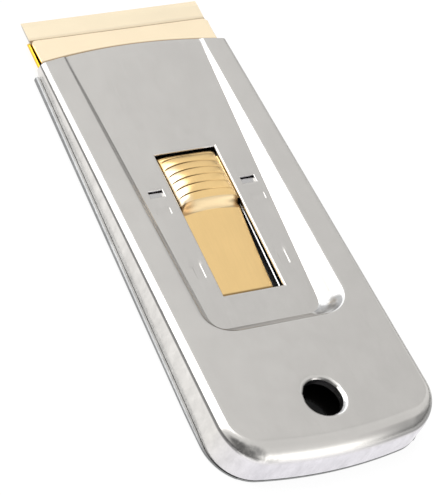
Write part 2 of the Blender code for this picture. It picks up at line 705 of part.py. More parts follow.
def hump_rows():
    """Rows across the tongue from its root to its front: (y, half width, base, height, arc share).

    A flat root on the tail, a strip that climbs from it, a ramp, a lip, ribs with a groove
    between each pair, and a nose that rounds down.
    """
    half = HUMP_WIDTH / 2
    root_half = TONGUE_ROOT_WIDTH / 2
    lip_y = HUMP_REAR_Y + HUMP_RAMP
    nose_y = HUMP_FRONT_Y - HUMP_NOSE
    sag_y = ROOT_FRONT_Y + TONGUE_SAG_PLACE * (HUMP_REAR_Y - ROOT_FRONT_Y)
    sag_half = root_half + TONGUE_SAG_RISE * (half - root_half)
    sag_top = ROOT_TOP + TONGUE_SAG_RISE * (SLIDE_TOP - ROOT_TOP)
    rows = [(TAIL_END_Y, root_half, ROOT_TOP, 0.0, 0.0), (ROOT_FRONT_Y, root_half, ROOT_TOP, 0.0, 0.0),
            (sag_y, sag_half, sag_top, 0.0, 0.0), (HUMP_REAR_Y, half, SLIDE_TOP, 0.0, 0.0)]
    rib = (nose_y - lip_y) / RIB_COUNT
    for number in range(RIB_COUNT):
        for share, sink in ((0.0, 1.0), (0.3, 0.0), (0.75, 0.1)):
            along = (number + share) / RIB_COUNT
            crown = HUMP_HEIGHT - HUMP_LIP_DROP * (2 * along - 1) ** 2
            sunk = 0.0 if number == 0 and share == 0.0 else sink
            rows.append((lip_y + (number + share) * rib, half, SLIDE_TOP, crown - RIB_DEPTH * sunk, 1.0))
    for step in range(BEND_STEPS + 1):
        angle = math.pi / 2 * step / BEND_STEPS
        height = (HUMP_HEIGHT - HUMP_LIP_DROP) * math.cos(angle)
        rows.append((nose_y + HUMP_NOSE * math.sin(angle), half, SLIDE_TOP, height, 1.0))
    return rows


def crown_share(side):
    """Height of the hump across its width: flat on top, round towards both sides."""
    return (1 - abs(side) ** 3.5) ** 0.6


def make_thumb_tongue(gold):
    """Spring strip with the ribbed hump, its side flanges and the two latch ears."""
    surface = Surface()
    columns = [-1.0, -0.97, -0.88, -0.74, -0.52, -0.26, 0.0, 0.26, 0.52, 0.74, 0.88, 0.97, 1.0]
    grid = []
    for y, half, base, height, arc in hump_rows():
        grid.append(surface.row(
            [(half * side, y - RIB_ARC * arc * side ** 2, base + height * crown_share(side))
             for side in columns]))
    surface.bridge(*grid)
    tongue = add_surface("thumb_tongue", surface.points, surface.faces, (0, 0, 1))
    thicken(tongue, SLIDE_SHEET)
    inner = HUMP_WIDTH / 2 - WING_OVERLAP
    flange = HUMP_WIDTH / 2 + FLANGE_WIDTH
    flange_front_y = HUMP_FRONT_Y - HUMP_NOSE
    wings = []
    for side in (-1, 1):
        outline = [(inner, EAR_REAR_Y), (EAR_SPAN / 2, EAR_REAR_Y), (EAR_SPAN / 2, EAR_FRONT_Y),
                   (flange, EAR_FRONT_Y), (flange, flange_front_y), (inner, flange_front_y)]
        wings.append(prism([(side * x, y) for x, y in outline], SLIDE_BOTTOM, SLIDE_TOP))
    combine(tongue, add_solid("tongue_wings", *merged(wings)), "UNION")
    combine(tongue, rivet_drills("tongue_holes", tongue_rivet_places()), "DIFFERENCE")
    tongue.data.materials.append(gold)
    return tongue


def make_blade(blade_steel, spine_steel):
    """Single-edge blade: a strip ground to an edge, and the spine folded over its back."""
    edge_start = BLADE_EDGE_Y - BLADE_GRIND
    strip_back = BLADE_BACK_Y + (SPINE_THICKNESS - BLADE_THICKNESS) / 2
    strip_profile = [(strip_back, BLADE_BOTTOM), (edge_start, BLADE_BOTTOM), (BLADE_EDGE_Y, BLADE_MIDDLE),
                     (edge_start, BLADE_TOP), (strip_back, BLADE_TOP)]
    strip = add_solid("blade_strip", *extruded(strip_profile, BLADE_WIDTH / 2))
    strip.data.materials.append(blade_steel)
    spine_front = BLADE_BACK_Y + SPINE_DEPTH
    slot_back = strip_back - SPINE_FOLD_GAP
    slot_half = BLADE_THICKNESS / 2 + SPINE_FOLD_GAP
    spine_profile = [(BLADE_BACK_Y, SPINE_BOTTOM), (spine_front, SPINE_BOTTOM),
                     (spine_front, BLADE_MIDDLE - slot_half), (slot_back, BLADE_MIDDLE - slot_half),
                     (slot_back, BLADE_MIDDLE + slot_half), (spine_front, BLADE_MIDDLE + slot_half),
                     (spine_front, SPINE_TOP), (BLADE_BACK_Y, SPINE_TOP)]
    spine = add_solid("blade_spine", *extruded(spine_profile, BLADE_WIDTH / 2))
    spine.data.materials.append(spine_steel)
    return [strip, spine]


def shouldered_profile():
    """A rivet whose shoulder keeps the jaw plate above the tray."""
    shoulder_low = TAIL_TOP + RIVET_SHOULDER_GAP
    shoulder_high = SLIDE_BOTTOM - RIVET_SHOULDER_GAP
    return [(RIVET_TENON_RADIUS, TAIL_BOTTOM), (RIVET_TENON_RADIUS, shoulder_low),
            (RIVET_SHOULDER_RADIUS, shoulder_low), (RIVET_SHOULDER_RADIUS, shoulder_high),
            (RIVET_TENON_RADIUS, shoulder_high), (RIVET_TENON_RADIUS, SLIDE_TOP)]


def headed_profile():
    """A rivet whose head holds the tongue's root down on the tray's tail."""
    head_low = ROOT_TOP + RIVET_SHOULDER_GAP
    return [(RIVET_TENON_RADIUS, TAIL_BOTTOM), (RIVET_TENON_RADIUS, head_low),
            (RIVET_SHOULDER_RADIUS, head_low), (RIVET_SHOULDER_RADIUS, head_low + RIVET_HEAD)]


def make_rivets(kind, places, profile, steel):
    """The left and the right rivet of a pair."""
    rivets = []
    for side, place in zip(("left", "right"), places):
        rivet = add_solid(f"{kind}_rivet_{side}", *turned(place, profile, RIVET_SIDES))
        rivet.data.materials.append(steel)
        rivets.append(rivet)
    return rivets


def add_axis(name, place, parent):
    """An empty on a joint's axis."""
    axis = add_object(name, None)
    axis.location = place
    axis.parent = parent
    return axis


def hang_on(axis, origin, pieces):
    """Give pieces the axis as their parent and their own origin, and leave them where they are."""
    for piece in pieces:
        piece.data.transform(Matrix.Translation(-origin))
        piece.parent = axis


def main():
    """Build the scraper, with the blade out."""
    clear_scene()
    steel = metal("satin_steel", (0.58, 0.57, 0.55), 0.35)
    plate_steel = metal("plate_steel", (0.62, 0.62, 0.61), 0.4)
    gold = metal("gold_plating", (0.83, 0.62, 0.3), 0.28)
    blade_steel = metal("blade_steel", (0.72, 0.66, 0.52), 0.22)
    rivet_steel = metal("rivet_steel", (0.55, 0.54, 0.52), 0.4)
    make_top_shell(steel)
    make_back_plate(plate_steel)
    carriage = [make_blade_tray(gold), make_jaw_plate(gold)]
    carriage += make_blade(blade_steel, rivet_steel)
    carriage += make_rivets("jaw", jaw_rivet_places(), shouldered_profile(), rivet_steel)
    carriage += make_rivets("tongue", tongue_rivet_places(), headed_profile(), rivet_steel)
    tongue = make_thumb_tongue(gold)
    slide_origin = Vector((0.0, FRONT_Y, TAIL_TOP))
    hinge_origin = Vector((0.0, TONGUE_RIVET_Y, ROOT_TOP - SLIDE_SHEET / 2))
    slide_axis = add_axis("slide_axis", slide_origin, None)
    hinge_axis = add_axis("tongue_hinge", hinge_origin - slide_origin, slide_axis)
    hang_on(slide_axis, slide_origin, carriage)
    hang_on(hinge_axis, hinge_origin, [tongue])


main()
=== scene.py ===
"""Looks of a retractable scraper for a single-edge razor blade.

A drawn satin steel shell and a plate hemmed round its walls make the wedge shaped body.
Gold plated pieces slide in it: the tray, the jaw over the blade, and the spring tongue
with its ribbed thumb hump. Every new piece is a surface worked out on a grid of two
parameters, in metres, in the frame of the solids: +Y towards the blade, +Z up.
"""

import logging
import math
from dataclasses import dataclass
from enum import Enum

import bmesh
import bpy
import numpy as np
from mathutils import Matrix, Vector


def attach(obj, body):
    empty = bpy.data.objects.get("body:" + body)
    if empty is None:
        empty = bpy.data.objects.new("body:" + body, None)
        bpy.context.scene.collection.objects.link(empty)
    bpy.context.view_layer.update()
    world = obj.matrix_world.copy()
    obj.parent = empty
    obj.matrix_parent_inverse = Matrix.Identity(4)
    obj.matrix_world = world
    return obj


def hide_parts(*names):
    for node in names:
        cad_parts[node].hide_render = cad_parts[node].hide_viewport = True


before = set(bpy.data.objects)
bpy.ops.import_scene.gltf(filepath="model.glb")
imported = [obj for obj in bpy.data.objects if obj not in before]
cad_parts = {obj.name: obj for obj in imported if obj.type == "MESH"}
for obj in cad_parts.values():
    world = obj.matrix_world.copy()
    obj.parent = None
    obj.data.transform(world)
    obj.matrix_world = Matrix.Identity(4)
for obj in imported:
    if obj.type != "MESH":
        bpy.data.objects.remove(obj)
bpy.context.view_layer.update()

MM = 0.001
WELD = 0.0005 * MM
LOG = logging.getLogger("scraper")
# Black of the painted shade on the steel and of the painted shadow on the table.
PAINTED_SHADE_BLACK = (0.1, 0.1, 0.1, 1.0)
WHITE = (1.0, 1.0, 1.0, 1.0)

Array = np.ndarray
Piece = bpy.types.Object
Socket = bpy.types.NodeSocket
Span = tuple[float, float]
Triple = tuple[float, float, float]


class Body(Enum):
    """The bodies that pieces ride on."""

    HOUSING = "body"
    CARRIAGE = "carriage"
    THUMB = "thumb"


class Slot(Enum):
    """The record's material slots of the new pieces."""

    SATIN = "satin_steel"
    PLATE = "plate_steel"
    GOLD = "gold_plating"
    BLADE = "blade_steel"


def smooth(share: Array) -> Array:
    """Ease from 0 to 1 with level ends: 3 t squared less 2 t cubed."""
    held = np.clip(share, 0.0, 1.0)
    return held * held * (3.0 - 2.0 * held)


def filled_lines(marks: list[float], step: float) -> Array:
    """Grid lines through every mark, with even lines between that are at most a step apart.

    Args:
        marks: Places that need a line.
        step: Largest distance between neighbouring lines.

    Returns:
        Rising places of all lines.
    """
    ends = np.unique(np.round(np.array(marks), 9))
    runs = [np.linspace(low, high, max(2, math.ceil((high - low) / step) + 1))[:-1]
            for low, high in zip(ends[:-1], ends[1:])]
    return np.concatenate([*runs, ends[-1:]])


def ruled(first: Array, last: Array, shares: Array) -> Array:
    """Rows on straight lines between two rows of points: first times (1 - s) plus last times s.

    Args:
        first: Points of the row at share 0, shape (columns, 3).
        last: Points of the row at share 1, shape (columns, 3).
        shares: Where the rows lie.

    Returns:
        Points of shape (rows, columns, 3).
    """
    share = shares[:, None, None]
    return first[None] * (1.0 - share) + last[None] * share


def surface(x: Array | float, y: Array | float, z: Array | float) -> Array:
    """Points of a grid from their three parts, each repeated to the grid's shape."""
    return np.stack(np.broadcast_arrays(x, y, z), axis=-1)


def swept(ring: Array, across: Array) -> Array:
    """Rings of a bar: points in Y and Z, carried to each place across X."""
    return surface(across[:, None], ring[:, 0], ring[:, 1])


def mirrored(right: Array) -> Array:
    """Places from the far left to the far right, given those from the middle to the right."""
    return np.concatenate([-right[:0:-1], right])


def quarter_turn(steps: int) -> Array:
    """Angles of a quarter turn, both ends counted."""
    return np.linspace(0.0, math.pi / 2, steps + 1)


def within(places: Array, span: Span, margin: float) -> Array:
    """Which places lie in a span that is grown by a margin."""
    return (span[0] - margin < places) & (places < span[1] + margin)


class Draft:
    """Grids of points that are collected into one mesh."""

    def __init__(self) -> None:
        """Start with no points."""
        self._points: list[Array] = []
        self._faces: list[Array] = []
        self._count = 0

    def grid(self, points: Array, keep: Array | None = None, closed: bool = False) -> None:
        """Add a grid with a quad between each four neighbours.

        Args:
            points: Points of shape (rows, columns, 3).
            keep: Which quads stay, shape (rows - 1, columns - 1), or None for all.
            closed: Whether the last column joins the first.
        """
        rows, columns = points.shape[:2]
        numbers = self._count + np.arange(rows * columns).reshape(rows, columns)
        if closed:
            numbers = np.concatenate([numbers, numbers[:, :1]], axis=1)
        quads = np.stack([numbers[:-1, :-1], numbers[:-1, 1:], numbers[1:, 1:], numbers[1:, :-1]], axis=-1)
        self._faces.append(quads.reshape(-1, 4) if keep is None else quads[keep])
        self._points.append(points.reshape(-1, 3))
        self._count += rows * columns

    def bar(self, points: Array) -> None:
        """Add a closed bar with flat ends.

        Args:
            points: Rings of shape (rings, points, 3). A ring's second half runs back along its first.
        """
        self.grid(points, closed=True)
        half = points.shape[1] // 2
        for end in (points[0], points[-1]):
            self.grid(np.stack([end[:half], end[half:][::-1]]))

    def build(self, name: str, facing: Triple | None, *finishes: "MetalFinish") -> Piece:
        """Put the grids into a mesh, join their shared edges and turn the faces.

        Args:
            name: Name of the piece.
            facing: Where an open surface looks on the whole, or None for a closed one.
            finishes: The finishes of its material slots.

        Returns:
            The new object, at the origin.
        """
        points = np.concatenate(self._points)
        faces = np.concatenate(self._faces)
        mesh = bpy.data.meshes.new(name)
        mesh.vertices.add(len(points))
        mesh.vertices.foreach_set("co", points.ravel().astype(np.float32))
        mesh.loops.add(faces.size)
        mesh.loops.foreach_set("vertex_index", faces.ravel().astype(np.int32))
        mesh.polygons.add(len(faces))
        mesh.polygons.foreach_set("loop_start", np.arange(0, faces.size, 4, dtype=np.int32))
        mesh.update(calc_edges=True)
        shape = bmesh.new()
        shape.from_mesh(mesh)
        bmesh.ops.remove_doubles(shape, verts=shape.verts, dist=WELD)
        bmesh.ops.recalc_face_normals(shape, faces=shape.faces)
        if facing is not None:
            outlook = sum((face.normal * face.calc_area() for face in shape.faces), Vector())
            if outlook.dot(Vector(facing)) < 0:
                bmesh.ops.reverse_faces(shape, faces=shape.faces)
        shape.to_mesh(mesh)
        shape.free()
        for finish in finishes:
            mesh.materials.append(finish.material())
        piece = bpy.data.objects.new(name, mesh)
        bpy.context.scene.collection.objects.link(piece)
        return piece


def thicken(piece: Piece, sheet: float, inside: int = 0) -> None:
    """Give a surface its sheet thickness behind the face that was drawn.

    Args:
        piece: The surface.
        sheet: Thickness.
        inside: How many material slots further the inner face takes its finish.
    """
    solidify = piece.modifiers.new("sheet", "SOLIDIFY")
    solidify.thickness = sheet
    solidify.offset = -1.0
    solidify.use_even_offset = True
    solidify.material_offset = inside


def roll_edges(piece: Piece, shares: Array, width: float, steps: int) -> None:
    """Round the marked edges as punching and tumbling leave them.

    Args:
        piece: The piece.
        shares: Share of the width for each edge of the mesh, 0 for a sharp one.
        width: How far a rounding reaches from its edge.
        steps: Facets over a rounding.
    """
    weights = piece.data.attributes.new("bevel_weight_edge", "FLOAT", "EDGE")
    weights.data.foreach_set("value", shares.astype(np.float32))
    bevel = piece.modifiers.new("rolled_edges", "BEVEL")
    bevel.limit_method = "WEIGHT"
    bevel.width = width
    bevel.segments = steps
    bevel.use_clamp_overlap = False


def edge_middles(mesh: bpy.types.Mesh) -> tuple[Array, Array]:
    """Middles of a mesh's edges, and which of them border the surface.

    Args:
        mesh: The mesh.

    Returns:
        Middles of shape (edges, 3), and a mask that is true where one face meets the edge.
    """
    points = np.empty(len(mesh.vertices) * 3, dtype=np.float32)
    mesh.vertices.foreach_get("co", points)
    ends = np.empty(len(mesh.edges) * 2, dtype=np.int32)
    mesh.edges.foreach_get("vertices", ends)
    sides = np.empty(len(mesh.loops), dtype=np.int32)
    mesh.loops.foreach_get("edge_index", sides)
    middles = points.reshape(-1, 3)[ends.reshape(-1, 2)].mean(axis=1)
    return middles, np.bincount(sides, minlength=len(mesh.edges)) == 1


def face_vectors(mesh: bpy.types.Mesh, name: str) -> Array:
    """The centre or normal of each face, shape (faces, 3)."""
    vectors = np.empty(len(mesh.polygons) * 3, dtype=np.float32)
    mesh.polygons.foreach_get(name, vectors)
    return vectors.reshape(-1, 3)


def finish_faces(mesh: bpy.types.Mesh, marked: Array) -> None:
    """Give the marked faces the second finish and the others the first."""
    mesh.polygons.foreach_set("material_index", marked.astype(np.int32))


def settle(piece: Piece, sharp_degrees: float) -> None:
    """Apply the piece's modifiers and shade it smooth, but for edges sharper than an angle.

    Args:
        piece: The piece.
        sharp_degrees: Edges that turn by more stay sharp.
    """
    depsgraph = bpy.context.evaluated_depsgraph_get()
    finished = bpy.data.meshes.new_from_object(piece.evaluated_get(depsgraph))
    unfinished = piece.data
    piece.modifiers.clear()
    piece.data = finished
    bpy.data.meshes.remove(unfinished)
    finished.name = piece.name
    finished.shade_smooth()
    finished.set_sharp_from_angle(angle=math.radians(sharp_degrees))


def hand_over(piece: Piece, body: Body, node: str) -> None:
    """Set what a piece rides on, and hide the solid that it stands for.

    Args:
        piece: The finished piece.
        body: The body that it moves with.
        node: The solid that it replaces.
    """
    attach(piece, body.value)
    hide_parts(node)
    LOG.info("%s: %d faces, rides on %s", piece.name, len(piece.data.polygons), body.value)


@dataclass(frozen=True)
class Outline:
    """Plan outline, front left round the rear to front right, with its outward normals."""

    points: Array
    normals: Array

    def moved(self, offset: Array | float) -> Array:
        """Points moved out along their normals, shape (points, 2)."""
        return self.points + self.normals * np.broadcast_to(offset, len(self.points))[:, None]


def facing_at(angles: Array | float) -> Array:
    """Unit vectors in plan at the angles."""
    return np.stack([np.cos(angles), np.sin(angles)], axis=-1)


def joined_outline(start: Array, spread: float, places: Array, radius: float, meeting: float, steps: int,
                   rear: Array, rear_normals: Array) -> Outline:
    """A symmetric outline from its right side and corner and its whole rear edge.

    Args:
        start: Front end of the right side.
        spread: Angle of the right side's normal.
        places: Distances of the side's points from the start, the rear one first.
        radius: Radius of the corner's arc, which is tangent to the side at its rear point.
        meeting: Angle of the arc's normal where it meets the rear edge.
        steps: Steps round the arc.
        rear: Points of the rear edge from left to right.
        rear_normals: Normals of those points.

    Returns:
        The outline.
    """
    flip = np.array([-1.0, 1.0])
    right_side = start + places[:, None] * facing_at(spread - math.pi / 2)
    side_normals = np.broadcast_to(facing_at(spread), right_side.shape)
    arc_normals = facing_at(np.linspace(meeting, spread, steps + 1)[1:-1])
    arc = right_side[0] + radius * (arc_normals - facing_at(spread))
    points, normals = (np.concatenate([side[::-1] * flip, corner[::-1] * flip, end, corner, side])
                       for side, corner, end in ((right_side, arc, rear),
                                                 (side_normals, arc_normals, rear_normals)))
    return Outline(points, normals)


@dataclass(frozen=True)
class BodyPlan:
    """Sizes that the shell and the plate share, and the outlines drawn from them."""

    front_y: float = 39.635 * MM
    length: float = 89.8 * MM
    half_width: float = 20.22 * MM
    side_spread: float = 2.5 * MM
    front_bow: float = 1.66 * MM
    rear_bow_radius: float = 98.0 * MM
    corner_radius: float = 8.5 * MM
    panel_top: float = 3.5 * MM
    rim_rise: float = 5.0 * MM
    front_step: float = 0.2 * MM
    hole_y: float = -39.295 * MM
    hole_radius: float = 3.75 * MM
    corner_share: float = 0.32

    @property
    def rear_y(self) -> float:
        """The rear end."""
        return self.front_y - self.length

    @property
    def rim_slope(self) -> float:
        """Climb of the rim for each length towards the rear."""
        return (self.rim_rise - self.front_step) / self.length

    @property
    def front_radius(self) -> float:
        """Radius of the front edge's arc, which goes through both front corners."""
        return (self.half_width ** 2 + self.front_bow ** 2) / (2 * self.front_bow)

    def front_edge(self, x: Array) -> Array:
        """The front edge at x."""
        radius = self.front_radius
        return self.front_y + self.front_bow - radius + np.sqrt(radius ** 2 - x ** 2)

    def rim_height(self, y: Array) -> Array:
        """Top of the rim at y, a step above the panel in front, which climbs from there to the rear."""
        return self.panel_top + self.front_step + self.rim_slope * np.maximum(self.front_y - y, 0.0)

    def corner_count(self, rear: int) -> int:
        """How many steps of the rear row go round each corner."""
        return int(self.corner_share * rear)

    def body_outline(self, sides: int, rear: int, trim: float = 0.0) -> Outline:
        """The wall in plan: straight spreading sides, corner arcs and a bowed rear, all tangent.

        Args:
            sides: Points along each side.
            rear: Points from one side's end to the other's, both ends counted.
            trim: Length left off the front of each side.

        Returns:
            The outline.
        """
        spread = math.atan2(self.side_spread, self.length)
        along = facing_at(spread - math.pi / 2)
        start = np.array([self.half_width, self.front_y])
        bow_centre = np.array([0.0, self.rear_y + self.rear_bow_radius])
        from_bow = start - self.corner_radius * facing_at(spread) - bow_centre
        way = from_bow @ along
        reach = self.rear_bow_radius - self.corner_radius
        length = math.sqrt(way ** 2 - from_bow @ from_bow + reach ** 2) - way
        corner_x, corner_y = from_bow + length * along
        meeting = math.atan2(corner_y, corner_x)
        steps = self.corner_count(rear)
        bow = facing_at(np.linspace(-math.pi - meeting, meeting, rear - 2 * steps))
        return joined_outline(start, spread, np.linspace(length, trim, sides), self.corner_radius, meeting,
                              steps, bow_centre + self.rear_bow_radius * bow, bow)

    def on_front(self, places: Array) -> Array:
        """The row with its two end points set on the front edge."""
        placed = places.copy()
        placed[[0, -1], 1] = self.front_edge(placed[[0, -1], 0])
        return placed


@dataclass(frozen=True)
class CarriagePlan:
    """Places and levels that the sliding pieces share."""

    front_y: float = BodyPlan.front_y
    jaw_reach: float = 6.05 * MM
    blade_width: float = 38.1 * MM
    blade_edge_y: float = 50.165 * MM
    blade_back_y: float = 31.115 * MM
    back_y: float = 27.115 * MM
    tail_end_y: float = -18.965 * MM
    tail_top: float = 1.02 * MM
    root_top: float = 1.49 * MM
    bed_top: float = 1.27 * MM
    blade_bottom: float = 1.39 * MM
    blade_top: float = 1.69 * MM
    slide_top: float = 2.49 * MM
    slide_sheet: float = 0.35 * MM

    @property
    def jaw_front_y(self) -> float:
        """Front edge of the upper jaw."""
        return self.front_y + self.jaw_reach


@dataclass(frozen=True)
class HumpPlan:
    """Sizes of the thumb hump that its shape and its finish share."""

    rear_y: float = 4.335 * MM
    front_y: float = 16.435 * MM
    half: float = 6.25 * MM
    ramp: float = 1.8 * MM
    rib_start_y: float = 5.93 * MM
    pitch: float = 1.6 * MM
    grooves: int = 6
    rib_arc: float = 0.6 * MM

    @property
    def lip_y(self) -> float:
        """Where the ramp ends in the hump's lip."""
        return self.rear_y + self.ramp


class Wiring:
    """A node tree and short ways to add and link its nodes."""

    def __init__(self, tree: bpy.types.NodeTree) -> None:
        """Take over a tree and empty it."""
        self.tree = tree
        tree.nodes.clear()

    def add(self, kind: str, settings: dict | None = None, inputs: dict | None = None) -> bpy.types.Node:
        """Add a node.

        Args:
            kind: Blender's name of the node type.
            settings: Values of the node's own properties.
            inputs: Value, or socket to link from, for each named or numbered input.

        Returns:
            The node.
        """
        node = self.tree.nodes.new(kind)
        for key, value in (settings or {}).items():
            setattr(node, key, value)
        for key, value in (inputs or {}).items():
            if isinstance(value, Socket):
                self.tree.links.new(value, node.inputs[key])
            else:
                node.inputs[key].default_value = value
        return node

    def math(self, operation: str, first: object, second: object = 0.0, clamp: bool = False) -> Socket:
        """Result of a Math node on two sockets or numbers."""
        return self.add("ShaderNodeMath", {"operation": operation, "use_clamp": clamp},
                        {0: first, 1: second}).outputs[0]

    def product(self, *factors: object) -> Socket:
        """Sockets or numbers multiplied, of which there are two or more."""
        result = factors[0]
        for factor in factors[1:]:
            result = self.math("MULTIPLY", result, factor)
        return result

    def scaled(self, vector: object, factors: object) -> Socket:
        """A vector multiplied part by part."""
        return self.add("ShaderNodeVectorMath", {"operation": "MULTIPLY"}, {0: vector, 1: factors}).outputs[0]

    def noise(self, vector: object, scale: object, detail: float, roughness: float = 0.5) -> Socket:
        """Value of a noise texture."""
        inputs = {"Vector": vector, "Scale": scale, "Detail": detail, "Roughness": roughness}
        return self.add("ShaderNodeTexNoise", None, inputs).outputs[0]

    def mixed(self, first: object, second: object, share: object) -> Socket:
        """A colour that goes from the first to the second with the share."""
        return self.add("ShaderNodeMix", {"data_type": "RGBA"}, {0: share, 6: first, 7: second}).outputs[2]

    def parts(self, vector: object) -> list[Socket]:
        """The three parts of a vector."""
        return list(self.add("ShaderNodeSeparateXYZ", None, {0: vector}).outputs)

    def between(self, value: object, low: float, high: float, start: float = 0.0, end: float = 1.0) -> Socket:
        """Smooth step of a value from start at low to end at high."""
        return self.add("ShaderNodeMapRange", {"interpolation_type": "SMOOTHSTEP"},
                        {"Value": value, "From Min": low, "From Max": high,
                         "To Min": start, "To Max": end}).outputs[0]

    def band(self, value: object, rise: Span, fall: Span, height: float = 1.0) -> Socket:
        """Smooth step from 0 up to a height over one span of a value, and back down over another.

        Args:
            value: The socket.
            rise: Where the step up starts and ends.
            fall: Where the step down ends and starts.
            height: The value between them.

        Returns:
            The socket of the result.
        """
        return self.product(self.between(value, *rise), self.between(value, *fall, 0.0, height))

    def toward(self, way: object, direction: Triple) -> Socket:
        """Cosine between a unit vector and a direction."""
        return self.add("ShaderNodeVectorMath", {"operation": "DOT_PRODUCT"},
                        {0: way, 1: direction}).outputs["Value"]


def new_group(name: str, inputs: dict[str, str], outputs: dict[str, str]) -> tuple[Wiring, dict, dict]:
    """An empty shader node group with its sockets.

    Args:
        name: Name of the group.
        inputs: Socket type for each input's name.
        outputs: Socket type for each output's name.

    Returns:
        The wiring, the group's inputs by name, and the sockets to link its outputs to by name.
    """
    tree = bpy.data.node_groups.new(name, "ShaderNodeTree")
    for sockets, side in ((inputs, "INPUT"), (outputs, "OUTPUT")):
        for socket_name, kind in sockets.items():
            tree.interface.new_socket(socket_name, in_out=side, socket_type=kind)
    wiring = Wiring(tree)
    source = wiring.add("NodeGroupInput")
    target = wiring.add("NodeGroupOutput")
    return wiring, dict(source.outputs.items()), dict(target.inputs.items())


SCRATCH_TURN = (0.0, 0.0, 0.5)
SCRATCH_STRETCH = (1.0, 0.05, 1.0)
SCRATCH_SCALE = 1400.0
SCRATCH_CREST = (0.71, 0.76)


def sheet_marks() -> bpy.types.NodeTree:
    """Shared group: rolling grain, soft patches and stray scratches of sheet metal.

    Grain is noise stretched along the rolling direction, patches are broad noise, and
    scratches are the crests of a thin, long noise.
    """
    known = bpy.data.node_groups.get("sheet_marks")
    if known:
        return known
    wiring, given, wanted = new_group(
        "sheet_marks",
        {"Vector": "NodeSocketVector", "Stretch": "NodeSocketVector", "Grain Scale": "NodeSocketFloat",
         "Patch Scale": "NodeSocketFloat"},
        {"Grain": "NodeSocketFloat", "Patches": "NodeSocketFloat", "Scratches": "NodeSocketFloat"})
    link = wiring.tree.links.new
    drawn = wiring.scaled(given["Vector"], given["Stretch"])
    link(wiring.noise(drawn, given["Grain Scale"], 3.0, 0.6), wanted["Grain"])
    link(wiring.noise(given["Vector"], given["Patch Scale"], 3.0, 0.55), wanted["Patches"])
    turned = wiring.add("ShaderNodeMapping", None, {"Vector": given["Vector"], "Rotation": SCRATCH_TURN,
                                                    "Scale": SCRATCH_STRETCH}).outputs[0]
    thin = wiring.noise(turned, SCRATCH_SCALE, 1.0)
    link(wiring.between(thin, *SCRATCH_CREST), wanted["Scratches"])
    return wiring.tree


def toned() -> bpy.types.NodeTree:
    """Shared group: a colour made lighter or darker by a value about a half."""
    known = bpy.data.node_groups.get("toned")
    if known:
        return known
    wiring, given, wanted = new_group(
        "toned", {"Colour": "NodeSocketColor", "Value": "NodeSocketFloat", "Amount": "NodeSocketFloat"},
        {"Colour": "NodeSocketColor"})
    swing = wiring.product(wiring.math("SUBTRACT", given["Value"], 0.5), given["Amount"])
    factor = wiring.math("ADD", swing, 1.0)
    spread = wiring.add("ShaderNodeCombineXYZ", None, {0: factor, 1: factor, 2: factor}).outputs[0]
    wiring.tree.links.new(wiring.scaled(given["Colour"], spread), wanted["Colour"])
    return wiring.tree


@dataclass(frozen=True)
class MetalFinish:
    """A worked metal surface with rolling grain, patches and scratches."""

    name: str
    colour: Triple
    roughness: float
    stretch: Triple = (1.0, 1.0, 1.0)
    grain_scale: float = 3000.0
    grain_tone: float = 0.05
    grain_height: float = 0.004 * MM
    patch_scale: float = 160.0
    patch_tone: float = 0.08
    scratch_height: float = 0.003 * MM
    rough_swing: float = 0.25

    def material(self) -> bpy.types.Material:
        """The finish as a procedural material."""
        material = bpy.data.materials.new(self.name)
        material.use_nodes = True
        wiring = Wiring(material.node_tree)
        place = wiring.add("ShaderNodeTexCoord").outputs["Object"]
        marks = wiring.add("ShaderNodeGroup", {"node_tree": sheet_marks()},
                           {"Vector": place, "Stretch": self.stretch, "Grain Scale": self.grain_scale,
                            "Patch Scale": self.patch_scale}).outputs
        colour = self._tone(wiring, (*self.colour, 1.0), marks["Patches"], self.patch_tone)
        colour = self._tone(wiring, colour, marks["Grain"], self.grain_tone)
        colour = self._paint(wiring, colour, place)
        swing = wiring.product(wiring.math("SUBTRACT", marks["Grain"], 0.5), self.rough_swing)
        rough = wiring.product(wiring.math("ADD", swing, 1.0), self.roughness)
        relief = wiring.math("ADD", wiring.product(marks["Grain"], self.grain_height),
                             wiring.product(marks["Scratches"], -self.scratch_height))
        bump = wiring.add("ShaderNodeBump", None, {"Height": relief, "Distance": 1.0, "Strength": 1.0})
        shader = wiring.add("ShaderNodeBsdfPrincipled", None,
                            {"Base Color": colour, "Roughness": rough, "Metallic": 1.0,
                             "Normal": bump.outputs[0]})
        wiring.add("ShaderNodeOutputMaterial", None, {"Surface": shader.outputs[0]})
        return material

    @staticmethod
    def _tone(wiring: Wiring, colour: object, value: object, amount: object) -> Socket:
        """A colour toned by a value."""
        return wiring.add("ShaderNodeGroup", {"node_tree": toned()},
                          {"Colour": colour, "Value": value, "Amount": amount}).outputs[0]

    def _paint(self, wiring: Wiring, colour: object, place: object) -> Socket:
        """The colour with the marks of this finish alone, which a plain finish has none of."""
        return colour


